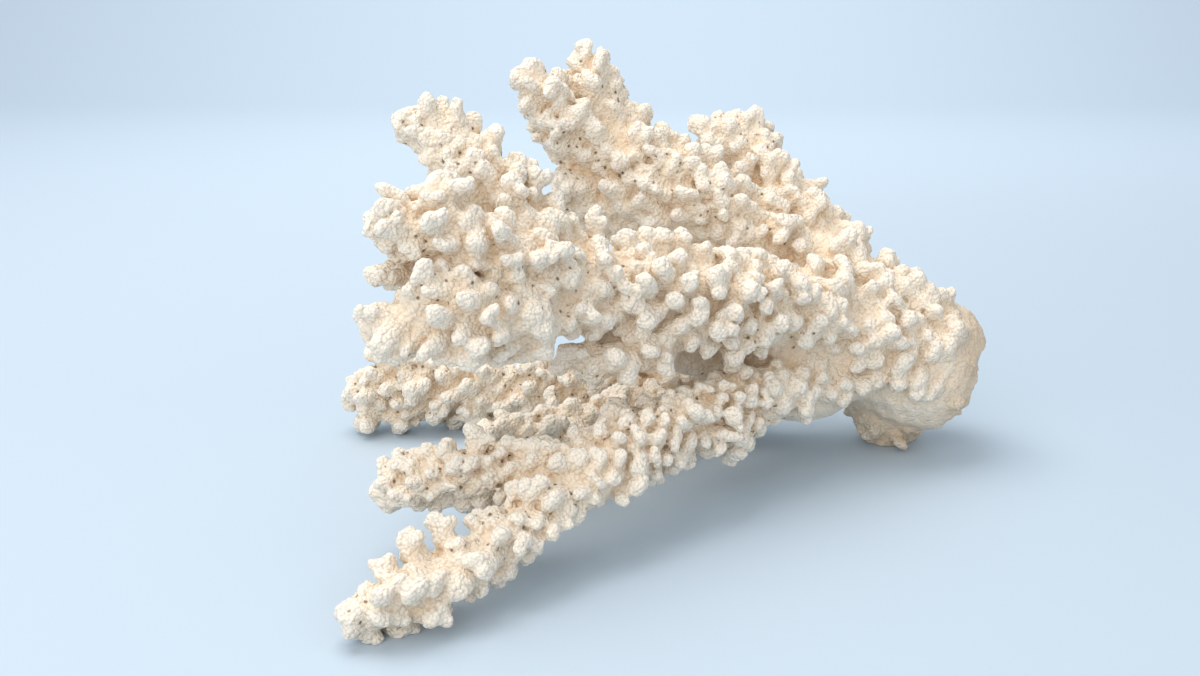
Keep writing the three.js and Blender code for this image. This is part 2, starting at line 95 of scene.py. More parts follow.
BRANCHES: tuple[Branch, ...] = (
    Branch("crest_branch", "base", routes=(
        ((69, 62, 57, 13), (61, 70, 70, 11.5), (52, 75, 82, 9.5), (46, 77, 93, 7), (44, 77, 99, 4.5)),
        ((48, 76, 88, 6.5), (38, 76, 95, 5), (31, 75, 99, 3.4)),
        ((48, 77, 91, 5), (51, 78, 99, 3.5), (50, 78, 103, 2.8)),
    ), twigs=(
        ((56, 73, 79), (61, 75, 84), 3), ((52, 75, 85), (57, 76, 91), 2.8),
        ((48, 77, 93), (52, 78, 95), 2.4), ((50, 72, 84), (43, 63, 86), 3),
        ((47, 76, 91), (42, 68, 93), 2.6), ((60, 70, 72), (67, 72, 77), 3.2),
    )),
    Branch("top_branch", "base", routes=(
        ((64, 54, 54, 13), (46, 55, 67, 12.5), (30, 56, 78, 12.5), (14, 58, 88, 11.5), (4, 60, 96, 9.5)),
        ((28, 54, 73, 10), (12, 54, 77, 9.5), (2, 54, 79, 8.5), (-6, 53, 83, 7), (-10, 52, 85, 5)),
    ), twigs=(
        ((38, 58, 76), (39, 60, 84), 3), ((31, 58, 81), (34, 60, 90), 3),
        ((23, 60, 87), (26, 62, 97), 2.8), ((17, 60, 92), (20, 62, 101), 2.8),
        ((11, 60, 96), (14, 62, 106), 2.6), ((9, 56, 89), (5, 45, 91), 3.4),
        ((-6, 53, 83), (-13, 52, 81), 3),
    )),
    Branch("top_branch_tip", "top_branch", routes=(
        ((6, 60, 95, 8), (-1, 62, 107, 6.5), (-4, 63, 117, 5.5), (-5, 63, 124, 3)),
    ), twigs=(
        ((-1, 62, 110), (4, 62, 118), 2.6), ((-2, 63, 116), (-9, 62, 120), 2.4),
        ((1, 62, 106), (7, 62, 111), 2.6),
    )),
    Branch("top_branch_horn", "top_branch", routes=(
        ((6, 57, 91, 8), (-8, 55, 98, 7.5), (-17, 54, 107, 7), (-20, 53, 117, 4)),
    ), twigs=(
        ((-15, 54, 107), (-23, 54, 110), 3), ((-14, 54, 104), (-21, 53, 101), 3),
        ((-9, 55, 99), (-16, 53, 95), 3), ((-12, 53, 107), (-9, 52, 111), 2.8),
    )),
    Branch("middle_branch", "base", routes=(
        ((70, 40, 42, 17), (46, 22, 51, 14), (28, 8, 56, 13), (11, -2, 61, 12), (-3, -9, 64, 10.5),
         (-10, -14, 68, 9)),
        ((22, 2, 52, 9), (8, -8, 48, 8), (-1, -14, 45, 5.5)),
    ), twigs=(
        ((0, -8, 70), (-1, -8, 86), 2.2), ((-6, -11, 73), (-7, -10, 85), 2.2),
        ((7, 0, 68), (7, 2, 78), 2.6), ((13, 3, 67), (12, 5, 78), 2.6), ((17, 6, 67), (17, 8, 77), 2.5),
        ((23, 8, 67), (22, 11, 77), 2.6), ((28, 10, 66), (27, 12, 72), 2.8),
        ((33, 14, 64), (32, 16, 70), 2.8), ((6, -10, 65), (-2, -19, 55), 2.9),
        ((13, -6, 62), (8, -15, 52), 2.9), ((18, -2, 54), (17, -13, 52), 3.2),
        ((25, 2, 56), (22, -10, 54), 2.8), ((-4, -13, 67), (-9, -21, 72), 3.2),
        ((-3, -12, 62), (-8, -21, 65), 3.2), ((38, 14, 48), (32, 2, 49), 3.4),
        ((3, -10, 48), (3, -18, 47), 3.2), ((10, -6, 47), (11, -14, 45), 3.2),
        ((-5, -12, 47), (-10, -18, 50), 3.4), ((0, -12, 45), (-3, -17, 42), 3),
    )),
    Branch("middle_fork_head", "middle_branch", routes=(
        ((-7, -10, 68, 9.5), (-17, -12, 76, 9), (-24, -12, 85, 8.5), (-31, -10, 94, 7.5),
         (-37, -9, 101, 6)),
        ((-36, -9, 100, 6), (-42, -9, 106, 5.8), (-48, -9, 107, 4.8)),
        ((-30, -9, 97, 5), (-27, -8, 104, 3.6)),
        ((-36, -11, 99, 4.5), (-43, -15, 100, 3.2)),
    ), twigs=(
        ((-17, -12, 85), (-17, -12, 96), 2.6), ((-21, -11, 90), (-21, -10, 100), 2.7),
        ((-17, -11, 79), (-12, -9, 89), 2.8), ((-37, -9, 104), (-37, -9, 109), 2.2),
        ((-18, -14, 83), (-18, -23, 85), 3.6), ((-18, -14, 75), (-19, -23, 77), 3.6),
        ((-31, -12, 94), (-32, -18, 100), 3.2), ((-43, -10, 106), (-46, -12, 102), 3),
    )),
    Branch("middle_fork_arm", "middle_branch", routes=(
        ((-10, -16, 69, 8.5), (-21, -28, 76, 8), (-31, -34, 81, 7.5), (-41, -37, 85, 6.5),
         (-49, -38, 87, 5), (-54, -38, 88, 3.2)),
        ((-35, -34, 82, 5.5), (-38, -34, 91, 5), (-39, -34, 96, 4)),
        ((-27, -30, 75, 5), (-41, -33, 74, 3.6), (-54, -34, 74, 2.6)),
    ), twigs=(
        ((-46, -37, 85), (-52, -38, 83), 3), ((-41, -37, 84), (-44, -39, 80), 2.8),
        ((-31, -34, 82), (-32, -40, 88), 3.4), ((-38, -34, 92), (-41, -35, 96), 2.4),
        ((-49, -33, 74), (-50, -34, 77), 1.8),
    )),
    Branch("middle_fork_hand", "middle_branch", routes=(
        ((-8, -14, 63, 9), (-20, -32, 64, 8.5), (-31, -42, 65, 8), (-40, -46, 65, 7), (-47, -48, 65, 5),
         (-54, -49, 64, 3)),
        ((-29, -42, 67, 5), (-37, -47, 72, 4.5), (-43, -48, 73, 3.6)),
        ((-30, -42, 63, 5), (-36, -43, 58, 4.2)),
        ((-16, -30, 61, 5.5), (-24, -32, 56, 4)),
    ), twigs=(
        ((-24, -36, 65), (-21, -40, 69), 2.8), ((-35, -45, 70), (-36, -46, 74), 2.6),
        ((-45, -47, 63), (-46, -48, 58), 3), ((-35, -43, 61), (-35, -44, 56), 3),
        ((-25, -32, 57), (-26, -34, 54), 3), ((-19, -30, 59), (-20, -30, 53), 2.8),
        ((-20, -33, 64), (-17, -41, 65), 4.2),
    )),
    Branch("front_branch", "base", routes=(
        ((65, 34, 26, 12), (46, 15, 27, 10), (29, -3, 27, 9), (13, -18, 26, 9), (1, -30, 24, 9),
         (-6, -38, 21, 7.5)),
    ), twigs=(
        ((42, 12, 27), (49, 6, 26), 3.4), ((38, 8, 26), (42, 4, 16), 3.2),
        ((27, -4, 27), (29, -8, 18), 3.2), ((18, -14, 25), (20, -18, 18), 3.2),
        ((11, -20, 25), (13, -24, 16), 3), ((3, -28, 23), (5, -31, 16), 3),
        ((42, 14, 28), (39, 12, 37), 3.6), ((32, 0, 29), (30, 0, 36), 3.2),
        ((-4, -36, 23), (-6, -42, 29), 3),
    )),
    Branch("front_fork_upper", "front_branch", routes=(
        ((-2, -35, 23, 7), (-14, -36, 23, 6.5), (-25, -36, 23, 6.5), (-38, -36, 22, 6),
         (-51, -35, 20, 4.5), (-56, -34, 18, 2.8)),
    ), twigs=(
        ((-51, -35, 21), (-51, -35, 28), 2.3), ((-47, -35, 22), (-46, -35, 29), 2.3),
        ((-42, -36, 23), (-43, -36, 30), 2.3), ((-38, -36, 23), (-38, -36, 32), 2.4),
        ((-31, -36, 24), (-31, -36, 36), 2.4), ((-25, -36, 24), (-23, -37, 33), 2.6),
        ((-19, -36, 24), (-17, -38, 32), 2.8), ((-51, -35, 18), (-54, -35, 13), 2.4),
        ((-44, -36, 19), (-46, -37, 14), 2.6), ((-33, -36, 18), (-35, -37, 14), 2.6),
    )),
    Branch("front_fork_lower", "front_branch", routes=(
        ((-3, -37, 22, 7), (-12, -46, 19, 6.8), (-20, -55, 16, 6.3), (-29, -64, 12, 5.8),
         (-40, -73, 9, 5.2), (-49, -79, 8, 5), (-54, -80, 7, 4.5)),
    ), twigs=(
        ((-32, -65, 13), (-39, -60, 22), 2.5), ((-37, -68, 11), (-45, -66, 20), 2.6),
        ((-42, -74, 9), (-51, -72, 16), 2.5), ((-44, -75, 7), (-47, -76, -1), 3),
        ((-38, -71, 8), (-38, -73, 2), 2.6), ((-31, -66, 11), (-31, -68, 4), 2.6),
        ((-25, -60, 13), (-24, -61, 5), 2.6), ((-19, -55, 16), (-18, -56, 8), 2.6),
        ((-50, -78, 8), (-53, -78, 12), 2.6), ((-51, -79, 6), (-55, -80, 2), 3),
        ((-25, -58, 15), (-29, -55, 21), 2.8), ((-13, -48, 19), (-10, -50, 14), 2.8),
    )),
    Branch("back_branch", "base", routes=(
        ((65, 48, 20, 13), (45, 58, 14, 10), (20, 64, 12, 9.5), (-7, 66, 13, 9), (-33, 66, 13, 8.5),
         (-56, 65, 14, 8), (-74, 63, 15, 6.5), (-80, 62, 14, 4.5)),
        ((-59, 64, 18, 5), (-68, 62, 24, 4.2), (-73, 62, 28, 3.2)),
    ), twigs=(
        ((33, 60, 15), (32, 58, 24), 3.4), ((20, 62, 15), (18, 60, 26), 3.4),
        ((7, 63, 15), (4, 60, 26), 3.2), ((-7, 64, 15), (-9, 62, 26), 3.2),
        ((-20, 65, 15), (-23, 62, 25), 3.2), ((-33, 65, 16), (-35, 63, 25), 3),
        ((-44, 65, 16), (-47, 63, 25), 3), ((-54, 64, 17), (-57, 62, 26), 3),
        ((-65, 62, 21), (-61, 60, 29), 2.4), ((-73, 62, 16), (-78, 60, 21), 2.6),
        ((-72, 62, 11), (-79, 60, 3), 3.6), ((-64, 63, 12), (-66, 60, 1), 3.4),
        ((-52, 62, 12), (-54, 56, 6), 3), ((-39, 62, 11), (-41, 58, 3), 3),
        ((-48, 66, 12), (-50, 71, 1), 3.4),
    )),
    Branch("back_branch_spur", "back_branch", routes=(
        ((29, 58, 12, 7.5), (14, 42, 13, 7), (-3, 24, 15, 6.5), (-17, 10, 17, 6), (-28, 2, 20, 4.5),
         (-33, -1, 22, 2.8)),
    ), twigs=(
        ((-23, 6, 18), (-24, 4, 25), 2.4), ((-16, 12, 18), (-17, 10, 25), 2.6),
        ((-7, 20, 16), (-9, 18, 24), 2.8), ((2, 30, 14), (-1, 27, 23), 2.8),
        ((-3, 22, 15), (-5, 18, 10), 2.6),
    )),
    Branch("base", "", routes=(
        ((113, 50, 24, 18), (103, 50, 27, 21.5), (89, 48, 32, 23), (74, 45, 39, 21.5), (59, 40, 46, 17)),
        ((102, 48, 34, 12), (109, 47, 37, 10), (114, 47, 37, 6.5)),
        ((91, 54, 19, 14), (93, 56, 5, 9.5), (94, 56, -2, 8)),
        ((79, 54, 47, 16), (68, 58, 58, 14.5)),
        ((76, 42, 29, 15), (60, 30, 25, 12)),
    ), twigs=(
        ((78, 56, 62), (81, 58, 70), 3.2), ((87, 52, 55), (90, 54, 62), 3.2),
        ((72, 60, 66), (71, 62, 75), 3.2), ((95, 50, 51), (98, 50, 57), 3),
        ((61, 44, 52), (55, 30, 61), 3.6),
    )),
)




class Kind(Enum):
    """What a place on the surface belongs to."""

    LIMB = 0
    KNOB = 1


@dataclass(frozen=True)
class KnobRule:
    """Knobs on a spiral round a limb, each leaning towards the limb's end, mm.

    `clearance` is the least distance between two tips, `share` the widest knob as a share of the
    limb's radius, `least_limb` the radius below which a limb carries none of them, `phase` the
    turn of the first, in radians, and `density` the share of them that grow.
    """

    pitch: float
    length: float
    radius: float
    clearance: float
    share: float
    least_limb: float
    lean: float
    phase: float = 0.0
    density: float = 1.0

    @property
    def fills(self) -> bool:
        """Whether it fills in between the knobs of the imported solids."""
        return self.phase != 0


NEVER_BARE = -1.1  # below the z of any direction, so that all sides carry fingers
TRUNK_BARE_UNDER = -0.35

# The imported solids' own rule; the others fill in between its knobs.
SOLID_KNOBS = KnobRule(22.0, 6.0, 3.2, 7.0, 0.45, 5.0, 0.7)
TRUNK_FINGERS = KnobRule(6.4, 7.6, 2.5, 5.0, 0.5, 3.5, 0.6, 0.7, 0.95)
FINGERS = KnobRule(5.6, 7.6, 1.95, 4.5, 0.5, 2.5, 0.6, 0.7, 0.9)
FRINGE = KnobRule(4.7, 7.2, 1.65, 3.9, 0.5, 2.2, 0.6, 0.7, 0.95)
NODULES = KnobRule(4.4, 3.0, 1.5, 3.4, 0.5, 2.0, 0.4, 2.1, 0.7)


@dataclass(frozen=True)
class Cover:
    """How a branch is covered.

    `rules` are its fill knobs, `bare_under` is the z of the outward direction below which the
    surface stays bare, `slim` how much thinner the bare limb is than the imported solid's, `blend`
    how far apart its limbs still run together, and `fuse` how far apart its fingers do, mm.
    """

    rules: tuple[KnobRule, ...] = (FINGERS, NODULES)
    bare_under: float = NEVER_BARE
    slim: float = 3.2
    blend: float = 5.0
    fuse: float = 1.5


COVERS: dict[str, Cover] = {
    "base": Cover((TRUNK_FINGERS, NODULES), TRUNK_BARE_UNDER, 4.9, 8.0, 2.6),
    "crest_branch": Cover((TRUNK_FINGERS, NODULES), slim=3.9, fuse=2.3),
    "top_branch": Cover((TRUNK_FINGERS, NODULES), slim=4.2, fuse=2.3),
    "top_branch_tip": Cover(slim=3.2),
    "top_branch_horn": Cover(slim=4.0),
    "middle_branch": Cover((TRUNK_FINGERS, NODULES), -0.75, 2.3, 7.0, 1.9),
    "front_branch": Cover((FRINGE, NODULES), -0.6, 3.0),
    "front_fork_upper": Cover((FRINGE, NODULES)),
    "front_fork_lower": Cover(bare_under=-0.7),
    "middle_fork_head": Cover(slim=3.8),
}
FINGER_SLIM = 0.9  # radius of a finger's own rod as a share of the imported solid's knob
TWIG_SHORT, KNOB_SHORT = 1.4, 1.0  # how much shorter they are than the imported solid's, mm
BARE_END_X = 95.0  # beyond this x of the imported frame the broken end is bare
HEEL_SLIM = 1.0  # the heel keeps more of its thickness than the limbs above
TIP_JITTER, REACH_SPREAD, SWELL_REACH = 0.5, 0.4, 2.2  # how the tips of fill knobs vary
FORK_ODDS = (0.55, 0.3, 0.15)  # of no fork, one and two
FLOOR_GAP = 0.6  # least height of a fill knob's tip, mm


@dataclass(frozen=True)
class Spiral:
    """Proportions of the knobs on a spiral.

    Of each triple, the first is the least share of the rule's size, the second how much of it may
    be added, and the third the step of the fraction that says how much of that is.
    """

    solid_start: float = 0.35
    fill_start: float = 0.05
    length: tuple[float, float, float] = (0.75, 0.5, 0.618)
    width: tuple[float, float, float] = (0.85, 0.3, 0.755)
    root: float = 0.55
    rise: float = 0.55
    pace_step: float = 0.5


@dataclass(frozen=True)
class Crown:
    """Proportions of the short fingers round a limb's end: the first leans out less."""

    count: int = 5
    inset: float = 0.02
    lean_first: float = 0.35
    lean: float = 1.1
    length: tuple[float, float] = (-2.6, -1.0)
    width: float = 0.55
    least: float = 1.6
    most: float = 2.5
    drop: float = 0.3
    root: float = 0.6


SPIRAL, CROWN = Spiral(), Crown()


@dataclass
class Knob:
    """A tapered finger from root to tip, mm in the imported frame."""

    root: np.ndarray
    tip: np.ndarray
    radius: float
    out: np.ndarray | None = None
    forks: int = 2


def unit(vector: np.ndarray) -> np.ndarray:
    """The vector at length 1."""
    return vector / max(float(np.linalg.norm(vector)), 1e-12)


def fraction(value: float) -> float:
    """The part of a number after its decimal point."""
    return value - math.floor(value)


def swell(spot: np.ndarray) -> float:
    """Slow waves about 13 mm apart, from -1 to 1, that bunch the fingers in clusters."""
    x, y, z = spot
    return (math.sin(0.48 * x + 0.3 * y) + math.sin(0.45 * y - 0.35 * z + 1.0)
            + math.sin(0.5 * z + 0.3 * x + 2.0)) / 3.0


def smooth_min(a: np.ndarray, b: np.ndarray, blend: float) -> np.ndarray:
    """The smaller of two distances, rounded where they are within `blend` of each other.

    min(a, b) - blend h^2 / 4, where h is 1 - |a - b| / blend, or 0 if that is negative.
    """
    h = np.maximum(1.0 - np.abs(a - b) / blend, 0.0)
    return np.minimum(a, b) - 0.25 * blend * h * h


class Limb:
    """The middle line of a limb: places, directions and radii by station, which counts points."""

    def __init__(self, route: tuple[RoutePoint, ...]) -> None:
        """Moves the route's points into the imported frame, and adds a point beyond each end.

        A limb whose last point is below the floor is a heel.
        """
        rows = np.array(route, dtype=float)
        self.points = rows[:, :3] - CENTRE
        self.radii = rows[:, 3]
        self.last = len(rows) - 1
        self.heel = bool(self.points[-1][2] < 0)
        chord = np.abs(self.points[-1] - self.points[0])
        self.reference = np.eye(3)[int(np.argmin(chord))]
        first = 2 * self.points[0] - self.points[1]
        end = 2 * self.points[-1] - self.points[-2]
        self.padded = np.vstack([first, self.points, end])

    def places(self, stations: np.ndarray) -> np.ndarray:
        """Points of the Catmull-Rom curve through the route.

        Args:
            stations: places along the route, counted in route points.

        Returns:
            One row of x, y, z for each station.
        """
        stations = np.clip(np.asarray(stations, dtype=float), 0.0, self.last)
        i = np.minimum(stations.astype(int), self.last - 1)
        w = (stations - i)[:, None]
        p0, p1, p2, p3 = (self.padded[i + k] for k in range(4))
        start, stop = 0.5 * (p2 - p0), 0.5 * (p3 - p1)
        cubic = 2 * p1 - 2 * p2 + start + stop
        square = -3 * p1 + 3 * p2 - 2 * start - stop
        return ((cubic * w + square) * w + start) * w + p1

    def radius(self, station: float) -> float:
        """Radius at a station, straight between route points."""
        return float(np.interp(station, np.arange(self.last + 1), self.radii))

    def frame(self, station: float) -> tuple[np.ndarray, np.ndarray, np.ndarray, np.ndarray]:
        """Place, tangent and two directions across at a station, in right-hand order."""
        step = 1e-4 * self.last
        before, place, after = self.places(np.array([station - step, station, station + step]))
        tangent = unit(after - before)
        across = unit(self.reference - tangent * float(self.reference @ tangent))
        return place, tangent, across, np.cross(across, tangent)

    def chain(self, start: float, stop: float, step: float) -> np.ndarray:
        """Rows of station, x, y, z and radius about every `step` mm from start to stop."""
        fine = np.linspace(start, stop, 60)
        walk = self.places(fine)
        run = np.concatenate([[0.0], np.cumsum(np.linalg.norm(np.diff(walk, axis=0), axis=1))])
        count = max(2, int(run[-1] / step) + 1)
        stations = np.interp(np.linspace(0, run[-1], count), run, fine)
        radii = np.interp(stations, np.arange(self.last + 1), self.radii)
        return np.column_stack([stations, self.places(stations), radii])


def spiral_knobs(
    limb: Limb, start: float, stop: float, rule: KnobRule, slim: float = 0.0
) -> list[Knob]:
    """Knobs of a limb on a golden spiral, each leaning towards the limb's end.

    Each is a golden turn on from the last, and further along by the length in which the limb's
    side has an area of pitch squared.  Lengths and radii vary by the fraction of k times a
    constant.  A fill knob near the limb's end leans less, so that it doesn't pass the end.

    Args:
        limb: the limb that carries them.
        start: station where the spiral starts.
        stop: station where it ends.
        rule: their spacing and sizes.
        slim: how much thinner the bare limb is than its route says, mm.

    Returns:
        The knobs in order along the limb.
    """
    knobs: list[Knob] = []
    station = start + (SPIRAL.fill_start if rule.fills else SPIRAL.solid_start)
    k = 0
    while station < stop and limb.radius(station) > rule.least_limb:
        place, tangent, across, beside = limb.frame(station)
        radius = limb.radius(station)
        turn = k * GOLDEN_TURN + rule.phase
        out = across * math.cos(turn) + beside * math.sin(turn)
        least, more, golden = SPIRAL.length
        length = rule.length * (least + more * fraction(k * golden))
        least, more, golden = SPIRAL.width
        width = rule.radius * (least + more * fraction(k * golden))
        root = place + out * SPIRAL.root * radius
        ahead = rule.lean * length
        if rule.fills:
            ahead = min(ahead, 0.5 * float(np.linalg.norm(limb.points[-1] - place)) + 0.3)
        tip = place + out * (radius - slim + SPIRAL.rise * length) + tangent * ahead
        knobs.append(Knob(root, tip, min(width, rule.share * radius), out))
        later = limb.places(np.array([min(limb.last, station + SPIRAL.pace_step)]))[0]
        pace = float(np.linalg.norm(later - place)) / SPIRAL.pace_step
        station += rule.pitch**2 / (2 * math.pi * radius * max(pace, 1.0))
        k += 1
    return knobs


@dataclass
class Plan:
    """Everything that grows: each branch's limbs, with their first and last station, and knobs."""

    branches: tuple[Branch, ...]
    rng: np.random.Generator
    limbs: dict[str, list[tuple[Limb, float, float]]] = field(default_factory=dict)
    knobs: dict[str, list[Knob]] = field(default_factory=dict)

    def draw(self) -> None:
        """Lays out the limbs and knobs of every branch."""
        for branch in self.branches:
            self.limbs[branch.name] = list(self._branch_limbs(branch))
        for branch in self.branches:
            self.knobs[branch.name] = self._branch_knobs(branch)

    def _branch_limbs(self, branch: Branch) -> Iterator[tuple[Limb, float, float]]:
        """A branch's own limbs from where it leaves its parent, then its children's first steps."""
        for order, route in enumerate(branch.routes):
            limb = Limb(route)
            yield limb, (1.0 if branch.parent and order == 0 else 0.0), float(limb.last)
        for child in self.branches:
            if child.parent == branch.name:
                yield Limb(child.routes[0]), 0.0, 1.0

    def _branch_knobs(self, branch: Branch) -> list[Knob]:
        """The twigs of a branch, its solid's spiral knobs, crowns, then the fill knobs."""
        cover = COVERS.get(branch.name, Cover())
        solid_bare = NEVER_BARE if branch.parent else TRUNK_BARE_UNDER
        knobs = []
        for root, tip, radius in branch.twigs:
            short = np.array(tip) - TWIG_SHORT * unit(np.array(tip) - np.array(root))
            knobs.append(Knob(np.array(root) - CENTRE, short - CENTRE, FINGER_SLIM * radius))
        for limb, start, stop in self.limbs[branch.name]:
            for knob in spiral_knobs(limb, start, stop, SOLID_KNOBS):
                if self._grows(knob, knobs, SOLID_KNOBS, branch, solid_bare):
                    knob.radius *= FINGER_SLIM
                    knob.tip = knob.tip - KNOB_SHORT * unit(knob.tip - knob.root)
                    knobs.append(knob)
        for limb, _, stop in self.limbs[branch.name]:
            if stop == limb.last and branch.parent:
                for knob in self._crown(limb):
                    if self._grows(knob, knobs, NODULES, branch, NEVER_BARE):
                        knobs.append(knob)
        for rule in cover.rules:
            for limb, start, stop in self.limbs[branch.name]:
                if limb.heel and rule is not NODULES:
                    continue
                slim = HEEL_SLIM if limb.heel else cover.slim
                for knob in spiral_knobs(limb, start, stop, rule, slim):
                    if self._varies(knob, rule) and self._grows(
                            knob, knobs, rule, branch, cover.bare_under):
                        knobs.append(knob)
        return knobs

    def _varies(self, knob: Knob, rule: KnobRule) -> bool:
        """Moves a fill knob's tip and draws its forks, or says that it doesn't grow."""
        chance = self.rng.random()
        jitter = self.rng.normal(0.0, TIP_JITTER, 3)
        if chance > rule.density:
            return False
        reach = (REACH_SPREAD * (chance / rule.density) - 0.5 * REACH_SPREAD) * rule.length
        reach += SWELL_REACH * swell(knob.root)
        knob.tip = knob.tip + jitter + unit(knob.tip - knob.root) * reach
        knob.forks = int(self.rng.choice([0, 1, 2], p=FORK_ODDS))
        return True

    def _crown(self, limb: Limb) -> Iterator[Knob]:
        """Short fingers round a limb's end, leaning out by the golden turn."""
        place, tangent, across, beside = limb.frame(limb.last - CROWN.inset)
        radius = limb.radius(limb.last)
        turn = self.rng.uniform(0, 2 * math.pi)
        size = float(np.clip(CROWN.width * radius, CROWN.least, CROWN.most))
        for k in range(CROWN.count):
            angle = turn + k * GOLDEN_TURN
            out = across * math.cos(angle) + beside * math.sin(angle)
            aim = unit(tangent + out * (CROWN.lean_first if k == 0 else CROWN.lean))
            length = radius + self.rng.uniform(*CROWN.length)
            place = place - tangent * CROWN.drop
            yield Knob(place - tangent * CROWN.root * radius, place + aim * length, size, None, 1)

    def _grows(
        self, knob: Knob, knobs: list[Knob], rule: KnobRule, branch: Branch, bare_under: float
    ) -> bool:
        """Whether a knob has room beside the others and doesn't stand on a bare side."""
        if knob.out is not None and knob.out[2] < bare_under:
            return False
        if not branch.parent and knob.tip[0] > BARE_END_X:
            return False
        if knob.tip[2] <= (FLOOR_GAP if rule.fills else rule.radius):
            return False
        if not knobs:
            return True
        tips = np.array([other.tip for other in knobs])
        return float(np.min(np.linalg.norm(tips - knob.tip, axis=1))) >= rule.clearance


@dataclass(frozen=True)
class Finger:
    """Proportions of a finger, by its length or radius, and of its forks and low buds."""

    bend_at: float = 0.55
    bend: float = 0.07
    root: float = 1.3
    middle: float = 1.02
    tip: float = 0.9
    joint: float = 0.8
    reach_forked: float = 2.6
    reach_plain: float = 1.6
    buds: int = 3
    turn_spread: float = 0.4
    side_blend: float = 0.7
    rise: float = 0.6
    side_root: float = 1.1
    side_tip: float = 0.95


@dataclass(frozen=True)
class Side:
    """A fork or bud: its drop from the tip, reach and size, each from least to most."""

    most_drop: float
    drop: tuple[float, float]
    reach: tuple[float, float]
    size: tuple[float, float]


FINGER = Finger()
FORK = Side(0.5, (0.8, 1.8), (1.1, 1.6), (0.66, 0.8))
BUD = Side(0.6, (0.2, 2.2), (0.45, 0.6), (0.42, 0.52))
FAR_OFF, OUT_OF_REACH, NO_BALL = 50.0, 30.0, 9.0  # distances that stand for nothing near, mm
THINNEST = 0.72  # least radius of a slimmed limb, as a share of the solid's
ROD_STEP = 2.6  # length of the rods that a limb is made of, mm
BEND_WAVES = ((1.0, 1.0), (0.8, 0.62), (0.6, 1.5), (0.45, 0.37), (0.4, 0.3))  # size, wavelength
BALLS_AT_ONCE = 20000


